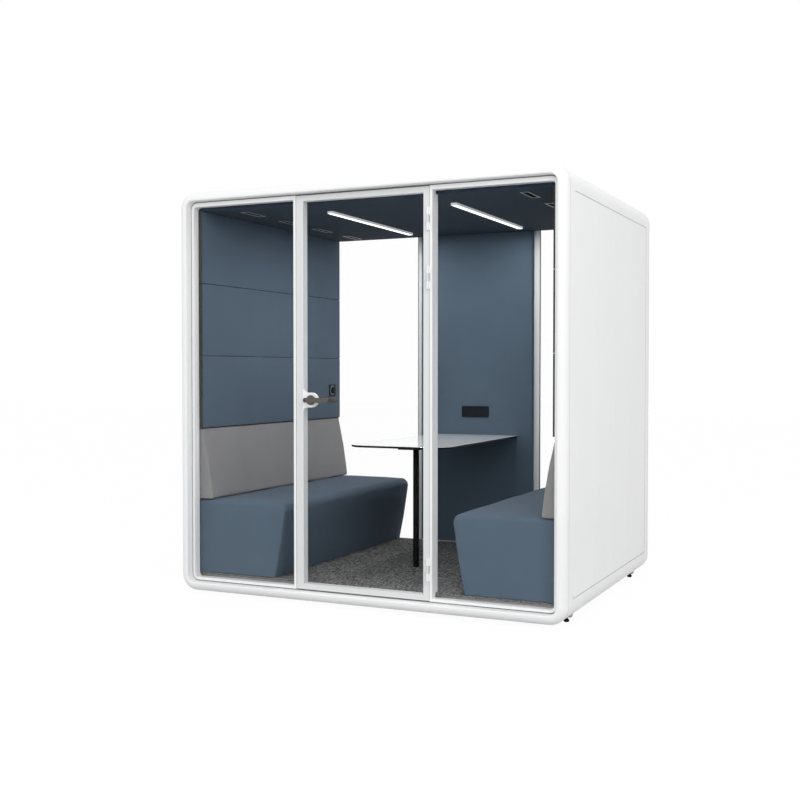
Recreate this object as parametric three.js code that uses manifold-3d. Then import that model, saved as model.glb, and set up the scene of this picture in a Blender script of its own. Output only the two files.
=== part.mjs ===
// Acoustic office pod for four people: a glazed cabin with a hinged glass door,
// two facing benches, a table, ceiling lamps and vents.
// Millimetres, +Z up, +X to the right seen from the front, +Y towards the back.
// The origin is on the ground, in the middle of the footprint.

import * as THREE from 'three';
import { mergeVertices } from 'three/addons/utils/BufferGeometryUtils.js';
import Module from 'manifold-3d';

const wasm = await Module();
wasm.setup();

// Driving dimensions of the shell
const WIDTH = 2200;
const DEPTH = 1774;
const GROUND_GAP = 20;
const SHELL_TOP = 2204;
const CORNER_RADIUS = 90;
const TRIM_WIDTH = 50;
const TRIM_DEPTH = 124;
const TRIM_FORWARD = 44;
const TRIM_BULLNOSE = 40;
const TRIM_INNER_ROUND = 9;
const TRIM_LIP = 4.5;
const TRIM_LIP_DEPTH = 8;
const TRIM_JOINT_DEPTH = 10;
const TRIM_JOINT_HALF = 1.5;
const ROOF_THICKNESS = 20;
const LOWER_SEAM = 135;
const UPPER_SEAM = 2087;
const SIDE_PANEL_RADIUS = 20;
const BOARD_COUNT = 4;
const BOARD_JOINT_WIDTH = 3;
const BOARD_JOINT_DEPTH = 1.5;
const SEAM_HALF = 1.2;
const PANEL_GAP = 1;

// Driving dimensions of the cabin
const CARPET_TOP = 112;
const CARPET_THICKNESS = 12;
const CEILING = 2112;
const CEILING_THICKNESS = 22;
const CABIN_FRONT = 47;
const CABIN_BACK = 26;
const LINING_FACE = 1012;
const LINING_THICKNESS = 33;
const LINING_SEAMS = [912, 1313, 1714];
const LINING_JOINT = 2;
const LINING_ROUND = 4;
const REAR_LINING_FACE = 782;

// Driving dimensions of the glazing and the door
const FRAME_GAP = 5;
const FRAME_BAR = 15;
const FRAME_TOP_BAR = 22;
const FRAME_DEPTH = 45;
const FRAME_INNER_ROUND = 20;
const MULLION_INNER = 384;
const FRONT_MULLION = 14;
const FRONT_MULLION_DEPTH = 72;
const DOOR_STOP = 10;
const DOOR_STOP_DEPTH = 48;
const REAR_MULLION = 34;
const REAR_FRAME_DEPTH = 24;
const GLASS_THICKNESS = 10;
const GLASS_SETBACK = 20;
const REAR_GLASS_SETBACK = 7;
const DOOR_GAP = 2.5;
const DOOR_SETBACK = 2;
const DOOR_THICKNESS = 44;
const LOCK_STILE = 42;
const HINGE_STILE = 32;
const DOOR_RAIL = 30;
const DOOR_GLASS_HOLE = 15;

// Driving dimensions of the hinges and the lock
const HINGE_X = 377;
const HINGE_FORWARD = 9;
const HINGE_RADIUS = 6.5;
const HINGE_PIN_RADIUS = 3;
const HINGE_LENGTH = 116;
const HINGE_BOTTOMS = [177, 1635, 1927];
const HINGE_NAMES = ['lower_hinge', 'middle_hinge', 'upper_hinge'];
const HINGE_LEAF = 2.2;
const HINGE_LEAF_INSET = 3;
const KNUCKLE_GAP = 0.5;
const LOCK_X = -294;
const LOCK_Z = 1076;
const ROSETTE_RADIUS = 39;
const ROSETTE_FILLET = 21;
const ROSETTE_FILLET_START = 0.93 * Math.PI;
const INNER_ROSETTE_RADIUS = 28;
const LEVER_BOSS_RADIUS = 26;
const LEVER_BOSS_DEPTH = 8;
const LEVER_NECK_RADIUS = 11;
const LEVER_HALF_HEIGHT = 13;
const LEVER_TAIL = 30;
const LEVER_LENGTH = 123;
const LEVER_STANDOFF = 25;
const LEVER_THICKNESS = 12;
const LEVER_GAP = 0.5;
const SPINDLE_RADIUS = 5;
const LATCH_LENGTH = 26;
const LATCH_HEIGHT = 20;
const LATCH_THICKNESS = 14;
const LATCH_REACH = 2;
const LATCH_TRAVEL = 10;

// Driving dimensions of the furniture
const BENCH_FRONT_TOP = 488;
const BENCH_FRONT_FOOT = 550;
const BENCH_TOP = 516;
const BENCH_CROWN = 2;
const BENCH_NOSE = 42;
const BENCH_END_ROUND = 14;
const BENCH_BACK = 1044;
const BENCH_END_GAP = 5;
const CARPET_HALF = 1043;
const BACKREST_FOOT = 948;
const BACKREST_HEAD = 1014;
const BACKREST_CROWN = 6;
const BACKREST_ROUND = 12;
const BACKREST_HEAD_LEAN = 2.4;
const TABLE_TOP = 818;
const TABLE_THICKNESS = 12;
const TABLE_FRONT = -458;
const TABLE_FRONT_HALF = 300;
const TABLE_BACK_HALF = 285;
const TABLE_CORNER = 115;
const POST_RADIUS = 17;
const POST_Y = -152;
const BRACKET_HALF_X = 64;
const BRACKET_HALF_Y = 110;
const BRACKET_THICKNESS = 20;

// Driving dimensions of the services
const LAMP_X = 369;
const LAMP_WIDTH = 34;
const LAMP_HEIGHT = 13;
const LAMP_FRONT = -492;
const LAMP_BACK = 582;
const LAMP_WALL = 3;
const VENT_X = 817;
const VENT_WIDTH = 42;
const VENT_LENGTH = 190;
const VENT_PITCH = 402;
const VENT_COUNT = 4;
const VENT_MIDDLE = 30;
const VENT_WALL = 4;
const DUCT_HEIGHT = 26;
const DUCT_MARGIN = 10;
const COLLAR_DROP = 1;
const FAN_SIDE = 120;
const FAN_HEIGHT = 25;
const FAN_Y = 160;
const FAN_BORE = 56;
const FAN_HUB = 20;
const FAN_BLADES = 7;
const FAN_CORNER = 5;
const FAN_SPOKE = 3;
const FAN_SPOKE_LIFT = 1;
const FAN_SPOKE_REACH = 2;
const FAN_HUB_LENGTH = 17;
const FAN_HUB_LIFT = 2;
const FAN_BLADE_GAP = 4;
const FAN_BLADE_ROOT = 4;
const FAN_BLADE_THICKNESS = 2.4;
const FAN_BLADE_WIDTH = 18;
const POWER_WIDTH = 183;
const POWER_HEIGHT = 70;
const POWER_Z = 967;
const POWER_THICKNESS = 8;
const POWER_CORNER = 3;
const POWER_RIM = 8;
const POWER_RECESS = 2;
const CONTROL_Y = 701;
const CONTROL_Z = 1098;
const CONTROL_WIDTH = 86;
const CONTROL_HEIGHT = 78;
const CONTROL_THICKNESS = 9;
const CONTROL_CORNER = 5;
const KNOB_RADIUS = 21;
const KNOB_LENGTH = 14;
const KNOB_ROUND = 1.5;

// Driving dimensions of the feet and the wheels
const FOOT_X = 1039;
const FOOT_YS = [-666, 640];
const FOOT_RADIUS = 14;
const FOOT_PAD = 13;
const FOOT_ROUND = 5;
const FOOT_TOP_ROUND = 2;
const FOOT_STEM_RADIUS = 6;
const FOOT_STEM_TOP = 62;
const WHEEL_X = 1030;
const WHEEL_BEHIND_FOOT = 86;
const WHEEL_RADIUS = 28;
const WHEEL_WIDTH = 22;
const WHEEL_LIFT = 3;
const WHEEL_ROUND = 4;
const WHEEL_WELL_GAP = 4;
const AXLE_RADIUS = 4;
const AXLE_REACH = 8;

// Small distances: between touching pieces, round pins and bolts, past a face that is cut,
// and the bevel on small edges
const GAP = 0.3;
const BORE_GAP = 0.4;
const OVERSHOOT = 1;
const EDGE_ROUND = 1;

// Sizes worked out from the driving dimensions
const HALF_WIDTH = WIDTH / 2;
const HALF_DEPTH = DEPTH / 2;
const FACE = HALF_DEPTH - TRIM_FORWARD;
const PANEL_END = HALF_DEPTH - TRIM_DEPTH;
const CORNER_X = HALF_WIDTH - CORNER_RADIUS;
const CORNER_LOW = GROUND_GAP + CORNER_RADIUS;
const CORNER_HIGH = SHELL_TOP - CORNER_RADIUS;
const OPENING_LOW = GROUND_GAP + TRIM_WIDTH + FRAME_GAP;
const OPENING_HIGH = SHELL_TOP - TRIM_WIDTH - FRAME_GAP;
const OPENING_HALF = HALF_WIDTH - TRIM_WIDTH - FRAME_GAP;
const OPENING_ROUND = CORNER_RADIUS - TRIM_WIDTH - FRAME_GAP;
const LINING_BACK = LINING_FACE + LINING_THICKNESS;
const PANEL_INNER = LINING_BACK + PANEL_GAP;
const CABIN_Y0 = -FACE + CABIN_FRONT;
const CABIN_Y1 = FACE - CABIN_BACK;
const CARPET_BOTTOM = CARPET_TOP - CARPET_THICKNESS;
const DOOR_HALF = MULLION_INNER - DOOR_GAP;
const DOOR_LOW = OPENING_LOW + DOOR_GAP;
const DOOR_HIGH = OPENING_HIGH - DOOR_GAP;
const DOOR_Y0 = -FACE + DOOR_SETBACK;
const DOOR_Y1 = DOOR_Y0 + DOOR_THICKNESS;
const REAR_LINING_BACK = CABIN_Y1 - GAP;
const AXIS_X = new THREE.Vector3(1, 0, 0);
const AXIS_Y = new THREE.Vector3(0, 1, 0);
const AXIS_Z = new THREE.Vector3(0, 0, 1);
const ARC_STEPS = 4;
const CORNER_STEPS = 8;
const ROUND_SIDES = 16;
const BEVEL_STEPS = 2;
const MERGE_DISTANCE = 1e-4;
const SQUARE = [0, 0, 0, 0];

// Materials
const paint = (color, roughness, metalness = 0) =>
  new THREE.MeshStandardMaterial({ color, roughness, metalness });
const WHITE = paint(0xececea, 0.45);
const BLUE_FABRIC = paint(0x4f5f70, 0.95);
const GREY_FABRIC = paint(0x777574, 0.95);
const CARPET = paint(0x58585a, 1);
const GLASS = new THREE.MeshStandardMaterial({
  color: 0xeef4f4, roughness: 0.05, transparent: true, opacity: 0.15,
});
const LAMINATE = paint(0xf1f1f0, 0.5);
const BLACK_METAL = paint(0x17181a, 0.5, 0.3);
const BLACK_PLASTIC = paint(0x1b1f24, 0.5);
const STEEL = paint(0x75716a, 0.4, 0.8);
const ALUMINIUM = paint(0x9a9da0, 0.4, 0.8);
const DIFFUSER = paint(0xffffff, 0.4);
const GREY_NYLON = paint(0xb9bab9, 0.6);

const pod = new THREE.Group();

// Solid helpers
function toSolid(geometry) {
  const bare = geometry.clone();
  bare.deleteAttribute('normal');
  bare.deleteAttribute('uv');
  const merged = mergeVertices(bare, MERGE_DISTANCE);
  return new wasm.Manifold(new wasm.Mesh({
    numProp: 3,
    vertProperties: new Float32Array(merged.attributes.position.array),
    triVerts: new Uint32Array(merged.index.array),
  }));
}

function toGeometry(solid) {
  const mesh = solid.getMesh();
  const geometry = new THREE.BufferGeometry();
  geometry.setAttribute('position', new THREE.BufferAttribute(new Float32Array(mesh.vertProperties), 3));
  geometry.setIndex(new THREE.BufferAttribute(new Uint32Array(mesh.triVerts), 1));
  return geometry;
}

function join(...geometries) {
  return toGeometry(geometries.map(toSolid).reduce((whole, piece) => whole.add(piece)));
}

function cut(geometry, ...tools) {
  return toGeometry(tools.map(toSolid).reduce((rest, tool) => rest.subtract(tool), toSolid(geometry)));
}

function addPiece(name, geometry, material) {
  const mesh = new THREE.Mesh(geometry, material);
  mesh.name = name;
  pod.add(mesh);
}

// Shape helpers
function box(x0, x1, y0, y1, z0, z1) {
  const geometry = new THREE.BoxGeometry(x1 - x0, y1 - y0, z1 - z0);
  return geometry.translate((x0 + x1) / 2, (y0 + y1) / 2, (z0 + z1) / 2);
}

function cylinder(axis, radius, x, y, z, length) {
  const geometry = new THREE.CylinderGeometry(radius, radius, length, ROUND_SIDES);
  const turn = new THREE.Quaternion().setFromUnitVectors(AXIS_Y, axis);
  return geometry.applyQuaternion(turn).translate(x, y, z);
}

function extrude(shape, length, bevel = 0) {
  return new THREE.ExtrudeGeometry(shape, {
    depth: length - 2 * bevel,
    curveSegments: ARC_STEPS,
    bevelEnabled: bevel > 0,
    bevelThickness: bevel,
    bevelSize: bevel,
    bevelOffset: -bevel,
    bevelSegments: BEVEL_STEPS,
  }).translate(0, 0, bevel);
}

// A shape drawn in X and Z, running from y0 to y1.
function extrudeY(shape, y0, y1, bevel = 0) {
  const basis = new THREE.Matrix4().makeBasis(AXIS_X, AXIS_Z, AXIS_Y.clone().negate());
  return extrude(shape, y1 - y0, bevel).applyMatrix4(basis).translate(0, y1, 0);
}

// A shape drawn in Y and Z, running from x0 to x1.
function extrudeX(shape, x0, x1, bevel = 0) {
  const basis = new THREE.Matrix4().makeBasis(AXIS_Y, AXIS_Z, AXIS_X);
  return extrude(shape, x1 - x0, bevel).applyMatrix4(basis).translate(x0, 0, 0);
}

// A shape drawn in X and Y, running from z0 to z1.
function extrudeZ(shape, z0, z1, bevel = 0) {
  return extrude(shape, z1 - z0, bevel).translate(0, 0, z0);
}

// A rectangle with its own radius at each corner: low left, low right, high right, high left.
function roundRect(x0, x1, y0, y1, radii) {
  const [lowLeft, lowRight, highRight, highLeft] = radii;
  const shape = new THREE.Shape();
  const corner = (x, y, radius, from) => {
    if (radius > 0) shape.absarc(x, y, radius, from, from + Math.PI / 2, false);
    else shape.lineTo(x, y);
  };
  shape.moveTo(x0 + lowLeft, y0);
  corner(x1 - lowRight, y0 + lowRight, lowRight, -Math.PI / 2);
  corner(x1 - highRight, y1 - highRight, highRight, 0);
  corner(x0 + highLeft, y1 - highLeft, highLeft, Math.PI / 2);
  corner(x0 + lowLeft, y0 + lowLeft, lowLeft, Math.PI);
  return shape;
}

function holed(shape, hole) {
  shape.holes.push(hole);
  return shape;
}

function mirrored(geometry) {
  const solid = toSolid(geometry).mirror([1, 0, 0]);
  return toGeometry(solid);
}

// The bullnose trim runs round the front or back opening. Its section is drawn as
// [outward from the opening, back from the face], and each point makes one rounded rectangle.
function trimSection() {
  const points = [];
  const arc = (cx, cy, radius, from, to) => {
    for (let step = 0; step <= ARC_STEPS; step += 1) {
      const angle = from + ((to - from) * step) / ARC_STEPS;
      points.push([cx + radius * Math.cos(angle), cy + radius * Math.sin(angle)]);
    }
  };
  const nose = -TRIM_FORWARD;
  arc(TRIM_INNER_ROUND, nose + TRIM_INNER_ROUND, TRIM_INNER_ROUND, Math.PI, 1.5 * Math.PI);
  arc(TRIM_WIDTH - TRIM_BULLNOSE, nose + TRIM_BULLNOSE, TRIM_BULLNOSE, 1.5 * Math.PI, 2 * Math.PI);
  points.push([TRIM_WIDTH, TRIM_JOINT_DEPTH - TRIM_JOINT_HALF]);
  points.push([TRIM_WIDTH - TRIM_JOINT_HALF, TRIM_JOINT_DEPTH]);
  points.push([TRIM_WIDTH, TRIM_JOINT_DEPTH + TRIM_JOINT_HALF]);
  points.push([TRIM_WIDTH, TRIM_DEPTH - TRIM_FORWARD]);
  points.push([-TRIM_LIP, TRIM_DEPTH - TRIM_FORWARD]);
  points.push([-TRIM_LIP, TRIM_LIP_DEPTH]);
  points.push([0, TRIM_LIP_DEPTH]);
  return points;
}

// The rounded rectangle that lies a given distance outside the trim's inner edge.
function trimOutline(out) {
  const radius = CORNER_RADIUS - TRIM_WIDTH + out;
  const corners = [
    [CORNER_X, CORNER_LOW], [CORNER_X, CORNER_HIGH], [-CORNER_X, CORNER_HIGH], [-CORNER_X, CORNER_LOW],
  ];
  return corners.flatMap(([x, z], quarter) => Array.from({ length: CORNER_STEPS + 1 }, (unused, step) => {
    const angle = (Math.PI / 2) * (quarter - 1 + step / CORNER_STEPS);
    return [x + radius * Math.cos(angle), z + radius * Math.sin(angle)];
  }));
}

function trimRing(side) {
  const loops = trimSection().map(([out, back]) => {
    const y = side * (FACE - back);
    return trimOutline(out).map(([x, z]) => [x, y, z]);
  });
  const size = loops[0].length;
  const faces = [];
  loops.forEach((loop, row) => {
    const next = (row + 1) % loops.length;
    for (let i = 0; i < size; i += 1) {
      const j = (i + 1) % size;
      const [a, b, c, d] = [row * size + i, row * size + j, next * size + j, next * size + i];
      faces.push(...(side > 0 ? [a, b, c, a, c, d] : [a, c, b, a, d, c]));
    }
  });
  const geometry = new THREE.BufferGeometry();
  geometry.setAttribute('position', new THREE.Float32BufferAttribute(loops.flat(2), 3));
  geometry.setIndex(faces);
  return geometry;
}

// Shell
function roofShape() {
  const shape = new THREE.Shape();
  const inner = CORNER_RADIUS - ROOF_THICKNESS;
  shape.moveTo(HALF_WIDTH, UPPER_SEAM);
  shape.absarc(CORNER_X, CORNER_HIGH, CORNER_RADIUS, 0, Math.PI / 2, false);
  shape.absarc(-CORNER_X, CORNER_HIGH, CORNER_RADIUS, Math.PI / 2, Math.PI, false);
  shape.lineTo(-HALF_WIDTH, UPPER_SEAM);
  shape.lineTo(-HALF_WIDTH + ROOF_THICKNESS, UPPER_SEAM);
  shape.absarc(-CORNER_X, CORNER_HIGH, inner, Math.PI, Math.PI / 2, true);
  shape.absarc(CORNER_X, CORNER_HIGH, inner, Math.PI / 2, 0, true);
  shape.lineTo(HALF_WIDTH - ROOF_THICKNESS, UPPER_SEAM);
  return shape;
}

function baseShape() {
  const shape = new THREE.Shape();
  shape.moveTo(HALF_WIDTH, LOWER_SEAM);
  shape.lineTo(PANEL_INNER, LOWER_SEAM);
  shape.lineTo(PANEL_INNER, CARPET_BOTTOM);
  shape.lineTo(-PANEL_INNER, CARPET_BOTTOM);
  shape.lineTo(-PANEL_INNER, LOWER_SEAM);
  shape.lineTo(-HALF_WIDTH, LOWER_SEAM);
  shape.absarc(-CORNER_X, CORNER_LOW, CORNER_RADIUS, Math.PI, 1.5 * Math.PI, false);
  shape.absarc(CORNER_X, CORNER_LOW, CORNER_RADIUS, 1.5 * Math.PI, 2 * Math.PI, false);
  return shape;
}

function wheelCentres() {
  return FOOT_YS.map((y) => y + WHEEL_BEHIND_FOOT);
}

function base() {
  const wells = [];
  const wellTop = 2 * WHEEL_RADIUS + WHEEL_LIFT + WHEEL_WELL_GAP;
  const wellHalf = WHEEL_RADIUS + WHEEL_WELL_GAP;
  const wellSide = WHEEL_WIDTH / 2 + OVERSHOOT;
  const stemBore = FOOT_STEM_TOP + 2 * OVERSHOOT;
  const axleBore = WHEEL_WIDTH + 2 * (AXLE_REACH + OVERSHOOT);
  for (const side of [-1, 1]) {
    for (const y of FOOT_YS) {
      wells.push(cylinder(AXIS_Z, FOOT_STEM_RADIUS + BORE_GAP, side * FOOT_X, y, stemBore / 2, stemBore));
    }
    for (const y of wheelCentres()) {
      const x = side * WHEEL_X;
      wells.push(box(x - wellSide, x + wellSide, y - wellHalf, y + wellHalf, 0, wellTop));
      wells.push(cylinder(AXIS_X, AXLE_RADIUS + BORE_GAP, x, y, WHEEL_RADIUS + WHEEL_LIFT, axleBore));
    }
  }
  return cut(extrudeY(baseShape(), -PANEL_END + GAP, PANEL_END - GAP), ...wells);
}

function sidePanel() {
  const radii = Array(4).fill(SIDE_PANEL_RADIUS);
  const end = PANEL_END - SEAM_HALF;
  const outline = roundRect(-end, end, LOWER_SEAM + SEAM_HALF, UPPER_SEAM - SEAM_HALF, radii);
  const panel = extrudeX(outline, PANEL_INNER, HALF_WIDTH);
  const boards = [];
  for (let board = 1; board < BOARD_COUNT; board += 1) {
    const y = -end + (2 * end * board) / BOARD_COUNT;
    const joint = new THREE.Shape();
    joint.moveTo(HALF_WIDTH - BOARD_JOINT_DEPTH, y);
    joint.lineTo(HALF_WIDTH + OVERSHOOT, y - BOARD_JOINT_WIDTH);
    joint.lineTo(HALF_WIDTH + OVERSHOOT, y + BOARD_JOINT_WIDTH);
    boards.push(extrudeZ(joint, 0, SHELL_TOP));
  }
  return cut(panel, ...boards);
}

addPiece('front_trim', trimRing(-1), WHITE);
addPiece('rear_trim', trimRing(1), WHITE);
addPiece('roof_shell', extrudeY(roofShape(), -PANEL_END + GAP, PANEL_END - GAP), WHITE);
addPiece('floor_base', base(), WHITE);
addPiece('right_side_panel', sidePanel(), WHITE);
addPiece('left_side_panel', mirrored(sidePanel()), WHITE);

// Cabin lining
function liningPanel(z0, z1) {
  const outline = roundRect(CABIN_Y0, CABIN_Y1, z0, z1, SQUARE);
  return extrudeX(outline, LINING_FACE, LINING_BACK, LINING_ROUND);
}

LINING_SEAMS.forEach((seam, row) => {
  const top = row + 1 < LINING_SEAMS.length ? LINING_SEAMS[row + 1] : CEILING;
  const panel = liningPanel(seam + LINING_JOINT / 2, top - LINING_JOINT / 2);
  addPiece(`right_wall_lining_${row + 1}`, panel, BLUE_FABRIC);
  addPiece(`left_wall_lining_${row + 1}`, mirrored(panel), BLUE_FABRIC);
});

function ventCentres() {
  const middle = (VENT_COUNT - 1) / 2;
  return Array.from({ length: VENT_COUNT }, (unused, i) => VENT_MIDDLE + (i - middle) * VENT_PITCH);
}

function ventBlock(margin, z0, z1) {
  const half = VENT_WIDTH / 2 + margin;
  const reach = VENT_LENGTH / 2 + margin;
  return ventCentres().map((y) => box(VENT_X - half, VENT_X + half, y - reach, y + reach, z0, z1));
}

function ceiling() {
  const edge = LINING_FACE + LINING_THICKNESS / 2;
  const slab = box(-edge, edge, CABIN_Y0, CABIN_Y1, CEILING, CEILING + CEILING_THICKNESS);
  const rightHoles = ventBlock(GAP, CEILING - OVERSHOOT, CEILING + CEILING_THICKNESS + OVERSHOOT);
  return cut(slab, ...rightHoles, ...rightHoles.map(mirrored));
}

addPiece('ceiling_panel', ceiling(), BLUE_FABRIC);
addPiece(
  'carpet',
  box(-CARPET_HALF, CARPET_HALF, CABIN_Y0, CABIN_Y1, CARPET_BOTTOM + GAP, CARPET_TOP),
  CARPET);
addPiece(
  'rear_wall_lining',
  extrudeY(
    roundRect(-DOOR_HALF, DOOR_HALF, CARPET_TOP + GAP, CEILING - GAP, SQUARE),
    REAR_LINING_FACE, REAR_LINING_BACK, LINING_ROUND),
  BLUE_FABRIC);
addPiece(
  'rear_wall_panel',
  box(-MULLION_INNER + GAP, MULLION_INNER - GAP, CABIN_Y1 + GAP, FACE, OPENING_LOW, OPENING_HIGH),
  WHITE);

// Fixed glazing
function paneShape(inset, mullion) {
  const low = OPENING_LOW + FRAME_BAR + inset;
  const high = OPENING_HIGH - FRAME_TOP_BAR - inset;
  const radius = FRAME_INNER_ROUND;
  return roundRect(
    MULLION_INNER + mullion + inset, OPENING_HALF - FRAME_BAR - inset, low, high, [0, radius, radius, 0]);
}

function fixedFrame(mullion, y0, y1) {
  const outline = roundRect(
    MULLION_INNER, OPENING_HALF, OPENING_LOW, OPENING_HIGH, [0, OPENING_ROUND, OPENING_ROUND, 0]);
  return extrudeY(holed(outline, paneShape(0, mullion)), y0, y1);
}

function frontFrame() {
  const frame = fixedFrame(FRONT_MULLION, -FACE, -FACE + FRAME_DEPTH);
  const mullionEnd = MULLION_INNER + FRONT_MULLION;
  const back = -FACE + FRONT_MULLION_DEPTH;
  const blade = box(
    MULLION_INNER, mullionEnd, -FACE + FRAME_DEPTH - OVERSHOOT, back, CARPET_TOP + GAP, CEILING - GAP);
  const stop = box(
    MULLION_INNER - DOOR_STOP, mullionEnd, -FACE + DOOR_STOP_DEPTH, back, CARPET_TOP + GAP, CEILING - GAP);
  return join(frame, blade, stop);
}

function pane(mullion, y0) {
  return extrudeY(paneShape(GAP, mullion), y0, y0 + GLASS_THICKNESS);
}

const rearFrame = fixedFrame(REAR_MULLION, FACE - REAR_FRAME_DEPTH, FACE);
const frontPane = pane(FRONT_MULLION, -FACE + GLASS_SETBACK);
const rearPane = pane(REAR_MULLION, FACE - REAR_GLASS_SETBACK - GLASS_THICKNESS);
addPiece('front_right_frame', frontFrame(), WHITE);
addPiece('front_left_frame', mirrored(frontFrame()), WHITE);
addPiece('rear_right_frame', rearFrame, WHITE);
addPiece('rear_left_frame', mirrored(rearFrame), WHITE);
addPiece('front_right_glass', frontPane, GLASS);
addPiece('front_left_glass', mirrored(frontPane), GLASS);
addPiece('rear_right_glass', rearPane, GLASS);
addPiece('rear_left_glass', mirrored(rearPane), GLASS);

// Door leaf
const GLASS_X0 = -DOOR_HALF + LOCK_STILE;
const GLASS_X1 = DOOR_HALF - HINGE_STILE;
const GLASS_Z0 = DOOR_LOW + DOOR_RAIL;
const GLASS_Z1 = DOOR_HIGH - DOOR_RAIL;
const HINGE_Y = -FACE - HINGE_FORWARD;
const KNUCKLE = HINGE_LENGTH / 3;

function circleShape(x, y, radius) {
  return roundRect(x - radius, x + radius, y - radius, y + radius, Array(4).fill(radius));
}

// The middle knuckle of each hinge is part of the door, with a leaf let into its face.
function doorKnuckle(bottom) {
  const z0 = bottom + KNUCKLE + KNUCKLE_GAP;
  const z1 = bottom + 2 * KNUCKLE - KNUCKLE_GAP;
  const barrel = cylinder(AXIS_Z, HINGE_RADIUS, HINGE_X, HINGE_Y, (z0 + z1) / 2, z1 - z0);
  const leaf = box(
    GLASS_X1 + HINGE_LEAF_INSET, HINGE_X, -FACE - HINGE_LEAF, DOOR_Y0 + OVERSHOOT, z0, z1);
  const arm = box(HINGE_X - HINGE_RADIUS, HINGE_X - KNUCKLE_GAP, HINGE_Y, -FACE, z0, z1);
  const bore = cylinder(AXIS_Z, HINGE_PIN_RADIUS + BORE_GAP, HINGE_X, HINGE_Y, (z0 + z1) / 2, HINGE_LENGTH);
  return cut(join(barrel, leaf, arm), bore);
}

function doorFrame() {
  const outline = roundRect(-DOOR_HALF, DOOR_HALF, DOOR_LOW, DOOR_HIGH, SQUARE);
  const window = roundRect(GLASS_X0, GLASS_X1, GLASS_Z0, GLASS_Z1, SQUARE);
  const leaf = extrudeY(holed(outline, window), DOOR_Y0, DOOR_Y1);
  const middle = (DOOR_Y0 + DOOR_Y1) / 2;
  const halfHeight = LATCH_HEIGHT / 2 + BORE_GAP;
  const halfThick = LATCH_THICKNESS / 2 + BORE_GAP;
  const pocketEnd = -DOOR_HALF + LATCH_LENGTH + LATCH_TRAVEL + OVERSHOOT;
  const pocket = box(
    -DOOR_HALF - OVERSHOOT, pocketEnd, middle - halfThick, middle + halfThick,
    LOCK_Z - halfHeight, LOCK_Z + halfHeight);
  return cut(join(leaf, ...HINGE_BOTTOMS.map(doorKnuckle)), pocket);
}

function doorGlass() {
  const outline = roundRect(GLASS_X0 + GAP, GLASS_X1 - GAP, GLASS_Z0 + GAP, GLASS_Z1 - GAP, SQUARE);
  const y0 = -FACE + GLASS_SETBACK;
  return extrudeY(holed(outline, circleShape(LOCK_X, LOCK_Z, DOOR_GLASS_HOLE)), y0, y0 + GLASS_THICKNESS);
}

addPiece('door_frame', doorFrame(), WHITE);
addPiece('door_glass', doorGlass(), GLASS);

// Hinges: the outer knuckles, the pin and a leaf on the mullion
function hinge(bottom) {
  const top = bottom + HINGE_LENGTH;
  const middle = bottom + HINGE_LENGTH / 2;
  const leafEnd = MULLION_INNER + FRONT_MULLION - EDGE_ROUND;
  const knuckle = (z0, z1) => join(
    cylinder(AXIS_Z, HINGE_RADIUS, HINGE_X, HINGE_Y, (z0 + z1) / 2, z1 - z0),
    box(HINGE_X, HINGE_X + HINGE_RADIUS, HINGE_Y, -FACE - GAP, z0, z1),
    box(HINGE_X, leafEnd, -FACE - HINGE_LEAF, -FACE - GAP, z0, z1));
  const pin = cylinder(AXIS_Z, HINGE_PIN_RADIUS, HINGE_X, HINGE_Y, middle, HINGE_LENGTH - 2 * EDGE_ROUND);
  return join(knuckle(bottom, bottom + KNUCKLE), knuckle(top - KNUCKLE, top), pin);
}

HINGE_BOTTOMS.forEach((bottom, i) => addPiece(HINGE_NAMES[i], hinge(bottom), WHITE));

// Lock: an outer plate that grows out of the stile with two fillets, a round plate inside, two levers
// on one spindle, and a latch
const SPINDLE_HOLE = circleShape(LOCK_X, LOCK_Z, SPINDLE_RADIUS + OVERSHOOT);

function outerRosetteShape() {
  const shape = new THREE.Shape();
  const stile = GLASS_X0 + GAP;
  const bend = stile + ROSETTE_FILLET;
  const low = LOCK_Z - ROSETTE_RADIUS - ROSETTE_FILLET;
  const high = LOCK_Z + ROSETTE_RADIUS + ROSETTE_FILLET;
  const tip = ROSETTE_FILLET * Math.sin(ROSETTE_FILLET_START);
  shape.moveTo(stile, low + tip);
  shape.absarc(bend, low, ROSETTE_FILLET, ROSETTE_FILLET_START, Math.PI / 2, true);
  shape.absarc(LOCK_X, LOCK_Z, ROSETTE_RADIUS, -Math.PI / 2, Math.PI / 2, false);
  shape.absarc(bend, high, ROSETTE_FILLET, -Math.PI / 2, -ROSETTE_FILLET_START, true);
  shape.lineTo(stile, high - tip);
  return holed(shape, SPINDLE_HOLE);
}

function lever(y0, direction) {
  const span = (from, to) => [y0 + direction * from, y0 + direction * to].sort((a, b) => a - b);
  const barShape = roundRect(
    LOCK_X - LEVER_TAIL, LOCK_X + LEVER_LENGTH, LOCK_Z - LEVER_HALF_HEIGHT, LOCK_Z + LEVER_HALF_HEIGHT,
    Array(4).fill(LEVER_HALF_HEIGHT));
  const bar = extrudeY(barShape, ...span(LEVER_STANDOFF, LEVER_STANDOFF + LEVER_THICKNESS));
  const boss = extrudeY(circleShape(LOCK_X, LOCK_Z, LEVER_BOSS_RADIUS), ...span(0, LEVER_BOSS_DEPTH));
  const neck = extrudeY(
    circleShape(LOCK_X, LOCK_Z, LEVER_NECK_RADIUS), ...span(OVERSHOOT, LEVER_STANDOFF + OVERSHOOT));
  return join(boss, neck, bar);
}

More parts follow.
